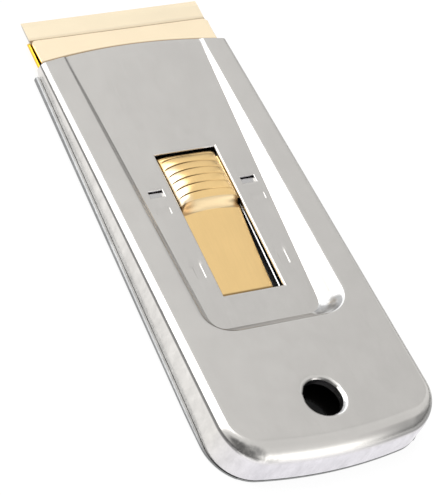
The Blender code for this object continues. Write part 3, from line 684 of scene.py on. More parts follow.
@dataclass(frozen=True)
class DrawnSteel(MetalFinish):
    """Sheet steel whose walls are mottled by the drawing, with painted light and shade on its walls, bends
    and slopes.
    """

    wall_tone: float = 0.5
    wall_patch_scale: float = 500.0
    wall_stretch: Triple = (1.0, 1.0, 0.45)
    wall_light: Triple = (1.34, 1.34, 1.34)
    rear_wall_light: Triple = (1.34, 1.34, 1.48)
    line_share: float = 0.72
    dark_reflection_share: float = 0.62
    shaded_end_share: float = 0.66
    slope_share: float = 0.34
    panel_x: Span = (17.0 * MM, 15.0 * MM)

    def _paint(self, wiring: Wiring, colour: object, place: object) -> Socket:
        """The colour mottled on upright walls by the drawing, with painted light and shade.

        Each painted mark is a product of smooth steps over parts of the normal: upright walls made lighter,
        bluish at the rear, a dark line of painted shade along the foot of the side bends, a painted
        highlight on slopes that face left and ahead, a streaky dark reflection painted on the rear corners,
        painted shade on the right end of the rear bend, and painted shade on slopes that face right on the
        panel.
        """
        normal = wiring.parts(wiring.add("ShaderNodeNewGeometry").outputs["Normal"])
        sideways, rearward, upright = (wiring.math("ABSOLUTE", part) for part in normal)
        mottle = wiring.noise(wiring.scaled(place, self.wall_stretch), self.wall_patch_scale, 4.0, 0.65)
        wall = wiring.between(upright, 0.55, 0.15)
        walls = self._tone(wiring, colour, mottle, wiring.product(wall, self.wall_tone))
        # Painted light: upright walls are made lighter, with a bluish cast on the rear walls.
        wall_light_colour = wiring.mixed((*self.wall_light, 1.0), (*self.rear_wall_light, 1.0), rearward)
        painted_colour = wiring.mixed(walls, wiring.scaled(walls, wall_light_colour), wall)

        # Painted shade: a dark line along the foot of the side bends.
        line = wiring.product(wiring.band(upright, (0.22, 0.36), (0.64, 0.5)),
                              wiring.between(sideways, 0.6, 0.74, 0.0, self.line_share))
        # Painted highlight: white on slopes that face left and ahead.
        painted_highlight = wiring.product(wiring.between(normal[0], -0.03, -0.12),
                                wiring.between(normal[1], 0.03, 0.12), wiring.between(upright, 0.5, 0.6))
        # Painted reflection: a streaky dark smear on the rear corners.
        dark_reflection = wiring.product(wiring.between(sideways, 0.07, 0.19), wiring.between(rearward, 0.16, 0.32),
                               wiring.between(mottle, 0.3, 0.6, 0.0, self.dark_reflection_share))
        # Painted shade on the right end of the rear bend.
        shaded_end = wiring.product(wiring.between(normal[0], -0.01, 0.13, 0.0, self.shaded_end_share),
                              wiring.between(rearward, 0.3, 0.5))
        bend = wiring.band(upright, (0.3, 0.45), (0.97, 0.88))
        # Painted shade on slopes that face right, over the panel.
        slope = wiring.product(wiring.between(normal[0], 0.1, 0.34, 0.0, self.slope_share),
                               wiring.between(wiring.parts(place)[0], *self.panel_x))
        # All of the painted shade on the bends and slopes, mixed in black.
        painted_lighting = wiring.math("MAXIMUM", wiring.product(wiring.math("MAXIMUM", dark_reflection, shaded_end), bend), slope)
        for paint, share in ((PAINTED_SHADE_BLACK, line), (WHITE, painted_highlight), (PAINTED_SHADE_BLACK, painted_lighting)):
            painted_colour = wiring.mixed(painted_colour, paint, share)
        return painted_colour


@dataclass(frozen=True)
class RibbedGold(MetalFinish):
    """Gold plating with painted shade in the grooves of the thumb hump, and painted light and shade on the
    hump.
    """

    hump: HumpPlan = HumpPlan()
    line: float = 0.17 * MM
    dark: Triple = (0.1, 0.05, 0.012)
    # Pale colour of the painted highlight on the hump's left flank.
    painted_lighting: Triple = (0.95, 0.9, 0.8)
    # Darker, greyer gold that the ramp is painted.
    ramp_tone: Triple = (0.45, 0.37, 0.245)
    # Painted shade at the ends of the ramp, where it turns into the flanks.
    ramp_end_shade: Triple = (0.4, 0.22, 0.08)
    # Rear, middle and front of the painted shadow line by the window's rear edge.
    shadow_line_y: Triple = (-13.3 * MM, -12.85 * MM, -12.5 * MM)

    def _paint(self, wiring: Wiring, colour: object, place: object) -> Socket:
        """The colour with a painted highlight on the hump's left flank, a darker, greyer gold on the ramp,
        painted shade at the ramp's ends, a painted shadow line behind the window's rear edge, and painted
        shade in the grooves, less to the right.
        """
        hump = self.hump
        x, y, _ = wiring.parts(place)
        across = wiring.math("DIVIDE", x, hump.half)
        along = wiring.math("ADD", y, wiring.product(wiring.math("POWER", across, 2.0), hump.rib_arc))
        before_lip = hump.lip_y - 0.2 * hump.rib_arc
        top = wiring.band(along, (before_lip, hump.lip_y),
                          (hump.front_y - hump.pitch, hump.front_y - 2 * hump.pitch))
        ramp = wiring.band(along, (hump.rear_y, hump.rear_y + 0.3 * hump.rib_arc), (hump.lip_y, before_lip))
        flank = wiring.between(across, -0.5, -0.9, 0.0, 0.5)
        ends = wiring.math("ADD", wiring.between(across, -0.45, -0.85, 0.0, 0.7),
                           wiring.between(across, 0.72, 0.9, 0.0, 0.9))
        rear, middle, ahead = self.shadow_line_y
        for paint, share in ((self.dark, wiring.band(y, (rear, middle), (ahead, middle), 0.8)),
                             (self.painted_lighting, wiring.product(top, flank)),
                             (self.ramp_tone, wiring.product(ramp, 0.8)),
                             (self.ramp_end_shade, wiring.product(ramp, ends)),
                             (self.dark, self._groove_shade(wiring, across, along))):
            colour = wiring.mixed(colour, (*paint, 1.0), share)
        return colour

    def _groove_shade(self, wiring: Wiring, across: object, along: object) -> Socket:
        """Share of the painted shade in the grooves."""
        hump = self.hump
        turns = wiring.math("DIVIDE", wiring.math("SUBTRACT", along, hump.rib_start_y), hump.pitch)
        off = wiring.math("ABSOLUTE", wiring.math("SUBTRACT", turns, wiring.math("ROUND", turns)))
        width = self.line / hump.pitch
        return wiring.product(wiring.between(off, width, 0.3 * width),
                              wiring.math("GREATER_THAN", turns, 0.5),
                              wiring.math("LESS_THAN", turns, hump.grooves + 0.5),
                              wiring.between(across, -0.97, -0.9),
                              wiring.between(across, -0.5, 0.4, 0.95, 0.12))


@dataclass(frozen=True)
class JawGold(MetalFinish):
    """Gold plating with a painted shadow line just in front of the shell's bowed front edge."""

    plan: BodyPlan = BodyPlan()
    line: Span = (0.72 * MM, 1.05 * MM)
    dark: Triple = (0.28, 0.2, 0.12)

    def _paint(self, wiring: Wiring, colour: object, place: object) -> Socket:
        """The colour darkened by a painted shadow just in front of the edge, whose bow is x squared by twice
        its radius.
        """
        x, y, _ = wiring.parts(place)
        bow = wiring.math("DIVIDE", wiring.math("POWER", x, 2.0), 2.0 * self.plan.front_radius)
        past = wiring.math("SUBTRACT", wiring.math("ADD", y, bow), self.plan.front_y + self.plan.front_bow)
        full, end = self.line
        # Painted shadow of the shell's front edge on the jaw.
        edge_shadow = wiring.band(past, (0.0, 0.5 * full), (end, full), 0.85)
        return wiring.mixed(colour, (*self.dark, 1.0), edge_shadow)


@dataclass(frozen=True)
class GroundSteel(MetalFinish):
    """Blade steel with a painted shadow in front of the jaw: a thin dark line and a soft shade."""

    plan: CarriagePlan = CarriagePlan()
    line: float = 0.6 * MM
    shade: float = 1.3 * MM
    dark: Triple = (0.2, 0.11, 0.04)

    def _paint(self, wiring: Wiring, colour: object, place: object) -> Socket:
        """The colour darkened along the jaw's front edge by a painted shadow."""
        past = wiring.math("SUBTRACT", wiring.parts(place)[1], self.plan.jaw_front_y)
        # Painted shadow of the jaw on the blade: a soft shade and a thin dark line.
        soft = wiring.between(past, 0.0, self.shade, 0.3, 0.0)
        thin = wiring.between(past, 0.4 * self.line, self.line, 0.85, 0.0)
        return wiring.mixed(colour, (*self.dark, 1.0), wiring.math("MAXIMUM", soft, thin))


SATIN_STEEL = DrawnSteel("satin_steel_sheet", (0.565, 0.549, 0.526), 0.25,
                         stretch=(1.0, 0.12, 1.0), patch_tone=0.13)
HEMMED_STEEL = MetalFinish("hemmed_plate_steel", (0.28, 0.283, 0.284), 0.36,
                           patch_scale=420.0, patch_tone=0.5)
# Painted shade: the inner faces of the shell and the plate are near black.
SHADED_STEEL = MetalFinish("shaded_inside", (0.05, 0.048, 0.046), 0.6)
PALE_GOLD = JawGold("pale_gold_plating", (0.98, 0.83, 0.6), 0.24, stretch=(0.1, 1.0, 1.0), grain_tone=0.04)
DEEP_GOLD = MetalFinish("deep_gold_plating", (0.9, 0.58, 0.055), 0.26)
WARM_GOLD = RibbedGold("warm_gold_plating", (0.8, 0.56, 0.256), 0.3,
                       stretch=(1.0, 0.06, 1.0), grain_tone=0.08)
GROUND_BLADE = GroundSteel("ground_blade", (0.97, 0.84, 0.62), 0.22, stretch=(0.08, 1.0, 1.0))
BLADE_ENDS = MetalFinish("cut_blade_ends", (0.55, 0.52, 0.47), 0.3)
FRESH_CUT = MetalFinish("freshly_cut_steel", (0.46, 0.455, 0.45), 0.35)
PLAIN_TAIL = MetalFinish("plain_tail_steel", (0.5, 0.5, 0.5), 0.28)
RIVET_STEEL = MetalFinish("rivet_steel_heads", (0.55, 0.54, 0.52), 0.35)


def join_into(piece: Piece, extra: Piece, finish: MetalFinish | None = None) -> None:
    """Join an extra mesh to a piece and delete the extra object.

    Args:
        piece: The piece that stays.
        extra: The object whose mesh goes into it.
        finish: The extra mesh's finish, or None for the piece's first one.
    """
    extra.data.materials.append(finish.material() if finish else piece.data.materials[0])
    with bpy.context.temp_override(active_object=piece, object=piece, selected_objects=[piece, extra],
                                   selected_editable_objects=[piece, extra]):
        bpy.ops.object.join()


@dataclass
class TopShell:
    """Drawn cover: walls, bends, sloping rim, sunk panel with its window, and the hang hole."""

    plan: BodyPlan
    sheet: float = 0.6 * MM
    wall_bottom: float = 0.65 * MM
    notch_depth: float = 1.1 * MM
    notch_length: float = 2.2 * MM
    front_bend: float = 1.05 * MM
    side_bend: float = 1.9 * MM
    rear_bend: float = 4.0 * MM
    panel_length: float = 60.2 * MM
    panel_front_width: float = 28.8 * MM
    panel_rear_width: float = 23.2 * MM
    panel_corner: float = 3.0 * MM
    recess_lip: float = 0.75 * MM
    run_per_depth: float = 0.97
    rear_run: float = 0.69
    foot_softness: float = 0.4
    top_softness: float = 1.0
    top_ease: float = 0.3
    roll_width: float = 0.95 * MM
    roll_depth: float = 0.6 * MM
    collar_depth: float = 1.15 * MM
    window_half: float = 6.43 * MM
    window_y: Span = (-13.885 * MM, 16.865 * MM)
    slot_x: Span = (8.4 * MM, 11.4 * MM)
    slot_y: Span = (8.115 * MM, 9.515 * MM)
    lock_x: Span = (8.6 * MM, 11.7 * MM)
    lock_y: Span = (4.285 * MM, 5.585 * MM)
    park_x: Span = (8.1 * MM, 9.95 * MM)
    park_y: Span = (-9.715 * MM, -6.115 * MM)
    stop_depth: float = 0.13 * MM
    stop_wall: float = 0.12 * MM
    stop_end: float = 0.06 * MM
    field_half: float = 11.8 * MM
    field_y: Span = (-14.4 * MM, 18.2 * MM)
    field_step: float = 0.8 * MM
    edge_roll: float = 0.34 * MM
    slot_roll: float = 0.14 * MM
    front_roll: float = 0.16 * MM
    tab_drop: float = 1.3 * MM
    tab_sheet: float = 0.3 * MM
    tab_reach: float = 0.4 * MM
    tab_flat: float = 1.2 * MM
    tab_sink: float = 0.42 * MM
    bend_steps: int = 18
    slope_steps: int = 26
    tab_steps: int = 12
    least_wall: float = 0.1 * MM
    wall_shares: tuple[float, ...] = (0.0, 0.12, 0.5, 0.88)
    rim_shares: tuple[float, ...] = (0.0, 0.03, 0.15, 0.5, 0.85, 0.97, 1.0)
    land_shares: tuple[float, ...] = (0.0, 0.03, 0.3, 0.7, 0.95)
    strip_shares: tuple[float, ...] = (0.0, 0.04, 0.5, 1.0)
    edge_margin: float = 0.01 * MM
    front_margin: float = 0.2 * MM

    def build(self) -> None:
        """All of the shell as one sheet."""
        draft = Draft()
        across, along = self._field_lines()
        body = self.plan.body_outline(len(along), len(across))
        rim_row = self._walls(draft, body)
        floor_row, edge_row = self._recess(draft, len(along), len(across))
        self._rim(draft, rim_row, edge_row, len(along), len(across))
        self._panel(draft, floor_row, across, along)
        shell = draft.build("top_shell_skin", (0, 0, 1), SATIN_STEEL, SHADED_STEEL)
        thicken(shell, self.sheet, inside=1)
        roll_edges(shell, self._edge_shares(shell.data), self.edge_roll, steps=4)
        settle(shell, sharp_degrees=12.0)
        self._add_tabs(shell)
        hand_over(shell, Body.HOUSING, "top_shell")

    def _field_lines(self) -> tuple[Array, Array]:
        """Lines across and along the middle of the panel, through every edge of its features."""
        guard = 1.5 * self.edge_roll
        x_marks = [0.0, self.window_half, self.window_half + guard, *self.slot_x, self.field_half]
        y_marks = [self.window_y[0] - guard, *self.window_y, self.window_y[1] + guard,
                   *self.slot_y, *self.field_y]
        for x_span, y_span in ((self.lock_x, self.lock_y), (self.park_x, self.park_y)):
            x_marks += [*x_span, x_span[0] + self.stop_wall, x_span[1] - self.stop_wall]
            y_marks += [*y_span, y_span[0] + self.stop_end]
        return mirrored(filled_lines(x_marks, self.field_step)), filled_lines(y_marks, self.field_step)

    def _bend_radius(self, y: Array, facing: Array) -> Array:
        """Radius between wall and rim: it grows along the sides and most round the rear."""
        share = (self.plan.front_y - y) / self.plan.length
        along = self.front_bend + (self.side_bend - self.front_bend) * share
        return along + (self.rear_bend - along) * np.maximum(-facing, 0.0) ** 2

    def _walls(self, draft: Draft, body: Outline) -> Array:
        """Walls and bends: upright rows, then a quarter turn of the bend radius up to the rim.

        Args:
            draft: Where the grid goes.
            body: The wall's outline.

        Returns:
            The rim's outer row.
        """
        plan = self.plan
        bend = self._bend_radius(body.points[:, 1], body.normals[:, 1])
        base = plan.on_front(body.points)
        back = plan.front_y - body.points[:, 1]
        bottom = self.wall_bottom + self.notch_depth * np.clip(1.0 - back / self.notch_length, 0.0, 1.0)
        top = plan.rim_height(base[:, 1]) - bend
        shares = np.array(self.wall_shares)[:, None]
        heights = bottom + np.maximum(top - bottom, self.least_wall) * shares
        walls = surface(base[:, 0], base[:, 1], heights)
        rows = []
        for angle in quarter_turn(self.bend_steps):
            places = plan.on_front(body.moved(-bend * (1.0 - math.cos(angle))))
            height = plan.rim_height(places[:, 1]) - bend * (1.0 - math.sin(angle))
            rows.append(np.column_stack([places, height]))
        draft.grid(np.concatenate([walls, np.stack(rows)]))
        return rows[-1]

    def _panel_outline(self, sides: int, rear: int) -> Outline:
        """The sunk panel in plan, point for point beside the wall's outline."""
        plan = self.plan
        radius = self.panel_corner
        spread = math.atan2((self.panel_rear_width - self.panel_front_width) / 2, self.panel_length)
        start = np.array([self.panel_front_width / 2, plan.front_y])
        length = (self.panel_length - radius * (1.0 + math.sin(spread))) / math.cos(spread)
        flat_half = start[0] - radius * math.cos(spread) + length * math.sin(spread)
        steps = plan.corner_count(rear)
        flat = np.linspace(-flat_half, flat_half, rear - 2 * steps)
        return joined_outline(start, spread, np.linspace(length, 0.0, sides), radius, -math.pi / 2, steps,
                              np.column_stack([flat, np.full_like(flat, plan.front_y - self.panel_length)]),
                              np.broadcast_to([0.0, -1.0], (len(flat), 2)))

    def _recess(self, draft: Draft, sides: int, rear: int) -> tuple[Array, Array]:
        """Slope round the panel: share t of the run out, and up by t less a sine of t that grows with t.

        Along the sides the climb takes t plus a part of t times (1 - t), which eases it in to the rim.

        Args:
            draft: Where the grid goes.
            sides: Points along each side.
            rear: Points round the rear.

        Returns:
            The slope's rows at the panel and at the rim.
        """
        plan = self.plan
        panel = self._panel_outline(sides, rear)
        slope = self.run_per_depth * plan.rim_slope
        least = self.recess_lip + self.run_per_depth * plan.front_step
        ahead = panel.normals[:, 1]
        run = least + slope * np.maximum(plan.front_y - panel.points[:, 1], 0.0)
        run *= (1.0 - (1.0 - self.rear_run) * np.maximum(-ahead, 0.0) ** 2) / (1.0 + slope * ahead)
        top = plan.rim_height(plan.on_front(panel.moved(run))[:, 1])
        ease = self.top_ease * smooth(1.0 + 1.5 * ahead)
        rows = []
        for share in np.linspace(0.0, 1.0, self.slope_steps + 1):
            softness = self.foot_softness + (self.top_softness - self.foot_softness) * share
            early = share + ease * share * (1.0 - share)
            climb = early - softness * np.sin(2 * math.pi * early) / (2 * math.pi)
            height = plan.panel_top + (top - plan.panel_top) * climb
            rows.append(np.column_stack([plan.on_front(panel.moved(run * share)), height]))
        draft.grid(np.stack(rows))
        return rows[0], rows[-1]

    def _rim(self, draft: Draft, rim_row: Array, edge_row: Array, sides: int, rear: int) -> None:
        """Flat rim: strips beside the panel, and the land round the hang hole drawn in to its collar.

        Args:
            draft: Where the grids go.
            rim_row: The rim's outer row.
            edge_row: The recess's upper row.
            sides: Points along each side.
            rear: Points round the rear.
        """
        plan = self.plan
        left = sides - 1 + plan.corner_count(rear) // 2
        right = len(rim_row) - 1 - left
        strips = ruled(rim_row, edge_row, np.array(self.rim_shares))
        draft.grid(strips[:, :left + 1])
        draft.grid(strips[:, right:])
        border = np.concatenate([edge_row[left:right + 1], strips[-2:0:-1, right],
                                 rim_row[left:right + 1][::-1], strips[1:-1, left]])
        tilt = math.atan(plan.rim_slope)
        ahead = np.array([0.0, math.cos(tilt), -math.sin(tilt)])
        upward = np.array([0.0, math.sin(tilt), math.cos(tilt)])
        centre = np.array([0.0, plan.hole_y, plan.rim_height(np.array(plan.hole_y))])
        offsets = border - centre
        angle = np.arctan2(offsets[:, 0], offsets @ ahead)
        spoke = np.sin(angle)[:, None] * np.array([1.0, 0.0, 0.0]) + np.cos(angle)[:, None] * ahead
        turn = quarter_turn(self.bend_steps)
        radii = plan.hole_radius + self.roll_width * np.append(1.0 - np.sin(turn), 0.0)
        depths = np.append(self.roll_depth * (1.0 - np.cos(turn)), self.roll_depth + self.collar_depth)
        rings = centre + radii[:, None, None] * spoke - depths[:, None, None] * upward
        land = ruled(border, rings[0], np.array(self.land_shares))
        draft.grid(np.concatenate([land, rings]), closed=True)

    def _panel(self, draft: Draft, floor_row: Array, across: Array, along: Array) -> None:
        """Flat panel: a field with its holes and shallow stops, and flat strips out to the slope.

        Args:
            draft: Where the grids go.
            floor_row: The slope's lower row.
            across: Places of the field's lines along X.
            along: Places of the field's lines along Y.
        """
        plan = self.plan
        x, y = np.meshgrid(across, along)
        sunk = np.maximum(self._stop(x, y, self.lock_x, self.lock_y),
                          self._stop(x, y, self.park_x, self.park_y))
        window, slot = self._holes((x[:-1, :-1] + x[1:, 1:]) / 2, (y[:-1, :-1] + y[1:, 1:]) / 2, 0.0)
        draft.grid(surface(x, y, plan.panel_top - self.stop_depth * sunk), ~(window | slot))

        low, high = self.field_y
        half = self.field_half
        border = np.concatenate([surface(-half, along[::-1], plan.panel_top),
                                 surface(across[1:-1], low, plan.panel_top),
                                 surface(half, along, plan.panel_top),
                                 surface(across[-2:0:-1], high, plan.panel_top)])
        front_x = np.linspace(self.panel_front_width / 2, -self.panel_front_width / 2, len(across))[1:-1]
        outer = np.concatenate([floor_row, surface(front_x, plan.front_edge(front_x), plan.panel_top)])
        draft.grid(ruled(outer, border, np.array(self.strip_shares)), closed=True)

    def _holes(self, x: Array, y: Array, margin: float) -> tuple[Array, Array]:
        """Which places lie in the window, and which in a slot, each grown by a margin."""
        window = (np.abs(x) < self.window_half + margin) & within(y, self.window_y, margin)
        return window, within(np.abs(x), self.slot_x, margin) & within(y, self.slot_y, margin)

    def _stop(self, x: Array, y: Array, x_span: Span, y_span: Span) -> Array:
        """Share of the depth of a pair of stops: sloping walls left and right, and a floor that sinks
        from nothing in front to a short wall at the rear.
        """
        rear, front = y_span
        across = np.minimum(np.abs(x) - x_span[0], x_span[1] - np.abs(x)) / self.stop_wall
        sinking = np.minimum((front - y) / (front - rear - self.stop_end), (y - rear) / self.stop_end)
        return np.clip(across, 0.0, 1.0) * np.clip(sinking, 0.0, 1.0)

    def _edge_shares(self, mesh: bpy.types.Mesh) -> Array:
        """How far each border edge is rolled: fully at the window, less at the slots and the front."""
        middles, border = edge_middles(mesh)
        x, y = middles[:, :2].T
        window, slot = self._holes(x, y, self.edge_margin)
        front = y > self.plan.front_y - self.front_margin
        rolls = np.select([~border, window, slot, front],
                          [0.0, self.edge_roll, self.slot_roll, self.front_roll])
        return rolls / self.edge_roll

    def _add_tabs(self, shell: Piece) -> None:
        """Lanced tabs: strips that run flat from the rear of the slots and turn down in a quarter ellipse."""
        draft = Draft()
        turn = np.append(0.0, quarter_turn(self.tab_steps))
        out = np.append(0.0, self.tab_flat + self.tab_reach * np.sin(turn[1:]))
        y = self.slot_y[0] - self.tab_sheet + out
        z = self.plan.panel_top - self.tab_sink - self.tab_drop * (1.0 - np.cos(turn))
        upper = np.column_stack([y + self.tab_sheet * np.sin(turn), z])
        lower = np.column_stack([y, z - self.tab_sheet * np.cos(turn)])
        for side in (-1.0, 1.0):
            draft.bar(swept(np.concatenate([upper, lower[::-1]]), side * np.linspace(*self.slot_x, 5)))
        tabs = draft.build("shell_tabs", None)
        settle(tabs, sharp_degrees=30.0)
        join_into(shell, tabs, FRESH_CUT)


@dataclass
class BackPlate:
    """Flat plate with its edge turned up over the shell's sides and rear corners."""

    plan: BodyPlan
    sheet: float = 0.45 * MM
    hem_gap: float = 0.35 * MM
    hem_bend: float = 0.8 * MM
    hem_front_height: float = 1.5 * MM
    hem_rear_height: float = 1.0 * MM
    hem_start: float = 1.4 * MM
    hem_end_half_gap: float = 18.9 * MM
    hole_margin: float = 0.5 * MM
    hem_closed_gap: float = 0.06 * MM
    hem_taper: float = 16.0 * MM
    hem_tip: float = 0.12
    hem_round: float = 0.35 * MM
    hem_tip_height: float = 0.4
    floor_shares: tuple[float, ...] = (0.0, 0.02, 0.3, 0.7, 1.0)
    sides: int = 70
    rear: int = 72
    bend_steps: int = 12

    def build(self) -> None:
        """The plate as one sheet."""
        plan = self.plan
        draft = Draft()
        reach = self.hem_gap + self.sheet
        outline = plan.body_outline(self.sides, self.rear, self.hem_start)
        base = outline.moved(reach - self.hem_bend)
        start_y = plan.front_y - self.hem_start
        border = np.concatenate([base, np.linspace(base[-1], base[0], self.rear)[1:-1]])
        centre = np.array([0.0, plan.hole_y])
        angle = np.arctan2(*(border - centre).T[::-1])
        ring = centre + (plan.hole_radius + self.hole_margin) * facing_at(angle)
        floor = ruled(surface(*border.T, 0.0), surface(*ring.T, 0.0), np.array(self.floor_shares))
        draft.grid(floor, closed=True)
        share = np.clip((start_y - outline.points[:, 1]) / (start_y - plan.rear_y), 0.0, 1.0)
        top = self.hem_front_height + (self.hem_rear_height - self.hem_front_height) * share
        plate = draft.build("back_plate_skin", (0, 0, -1), HEMMED_STEEL, SHADED_STEEL)
        thicken(plate, self.sheet, inside=1)
        settle(plate, sharp_degrees=20.0)
        self._add_hem(plate, outline, top)
        hand_over(plate, Body.HOUSING, "back_plate")

    def _add_hem(self, plate: Piece, outline: Outline, top: Array) -> None:
        """Turned-up edge: a quarter bend, an upright face rounded over at its top, and back down the wall.

        Args:
            plate: The flat plate.
            outline: The wall's outline.
            top: Height of the edge along the outline.
        """
        reach = self.hem_gap + self.sheet
        base, inner = reach - self.hem_bend, self.hem_bend - self.sheet
        turn = quarter_turn(self.bend_steps)
        curl = quarter_turn(self.bend_steps // 2)
        offsets = np.concatenate([base + self.hem_bend * np.sin(turn),
                                  reach - self.hem_round * (1.0 - np.cos(curl))])
        levels = np.concatenate([self.hem_bend * (1.0 - np.cos(turn)), self.hem_round * (np.sin(curl) - 1.0)])
        closing = smooth(np.linspace(0.0, 1.0, len(curl)))
        inner_offsets = np.concatenate([base + inner * np.sin(turn),
                                        self.hem_gap + (self.hem_closed_gap - self.hem_gap) * closing])
        inner_levels = np.concatenate([self.hem_bend - inner * np.cos(turn),
                                       0.5 * self.hem_round * (closing - 1.5)])
        ring_offsets = np.concatenate([offsets, inner_offsets[::-1]])
        ring_levels = np.concatenate([levels, inner_levels[::-1]])
        on_top = np.concatenate([np.zeros(len(turn)), np.ones(2 * len(curl)), np.zeros(len(turn))])
        end = int(np.argmax(outline.points[:, 0] > -self.hem_end_half_gap))
        steps = np.linalg.norm(np.diff(outline.points[:end + 1], axis=0), axis=1)
        to_end = np.append(np.cumsum(steps[::-1])[::-1], 0.0)
        thinning = np.full(len(outline.points), self.hem_tip)
        thinning[:end + 1] += (1.0 - self.hem_tip) * smooth(to_end / self.hem_taper)
        thinning[len(thinning) - 1 - end:] = thinning[end::-1]
        spread = self.hem_closed_gap + (ring_offsets - self.hem_closed_gap) * thinning[:, None]
        places = outline.points[:, None] + outline.normals[:, None] * spread[..., None]
        lowering = self.hem_tip_height + (1.0 - self.hem_tip_height) * thinning[:, None]
        heights = (ring_levels + top[:, None] * on_top) * lowering
        hem = np.concatenate([places, heights[..., None]], axis=-1)
        draft = Draft()
        draft.bar(hem[:end + 1])
        draft.bar(hem[len(hem) - 1 - end:])
        edge = draft.build("plate_hem", None)
        settle(edge, sharp_degrees=40.0)
        join_into(plate, edge)


@dataclass
class JawPlate:
    """Upper jaw: a flat plate whose front strip slopes down on to the blade."""

    plan: CarriagePlan
    bend_reach: float = 0.3 * MM
    bend_softness: float = 0.5 * MM
    front_top: float = 2.16 * MM
    corner: float = 0.9 * MM
    edge_roll: float = 0.06 * MM
    columns: int = 41

    def build(self) -> None:
        """The plate as a grid: share u across its width at y, and a slope that eases in at the bend."""
        plan = self.plan
        front = plan.jaw_front_y
        bend = plan.front_y + self.bend_reach
        soft = self.bend_softness
        corner_turn = quarter_turn(10)
        y = np.concatenate([
            plan.back_y + self.corner * (1.0 - np.cos(corner_turn)),
            np.linspace(plan.back_y + self.corner, bend - soft, 8)[1:],
            np.linspace(bend - soft, bend + soft, 9)[1:],
            np.linspace(bend + soft, front - self.corner, 12)[1:],
            front - self.corner * (1.0 - np.sin(corner_turn))[1:]])
        into_corner = np.maximum(np.maximum(y - front, plan.back_y - y) + self.corner, 0.0)
        rounding = np.sqrt(np.maximum(self.corner ** 2 - into_corner ** 2, 0.0))
        half = plan.blade_width / 2 - self.corner + rounding
        slope = (plan.slide_top - self.front_top) / (front - bend)
        past = y - bend
        eased = np.where(past > soft, past, np.where(past < -soft, 0.0, (past + soft) ** 2 / (4.0 * soft)))
        share = np.sin(np.linspace(-math.pi / 2, math.pi / 2, self.columns))
        draft = Draft()
        draft.grid(surface(half[:, None] * share, y[:, None], (plan.slide_top - slope * eased)[:, None]))
        jaw = draft.build("jaw_plate_skin", (0, 0, 1), PALE_GOLD)
        thicken(jaw, plan.slide_sheet)
        _, border = edge_middles(jaw.data)
        roll_edges(jaw, border.astype(float), self.edge_roll, steps=2)
        settle(jaw, sharp_degrees=25.0)
        hand_over(jaw, Body.CARRIAGE, "jaw_plate")


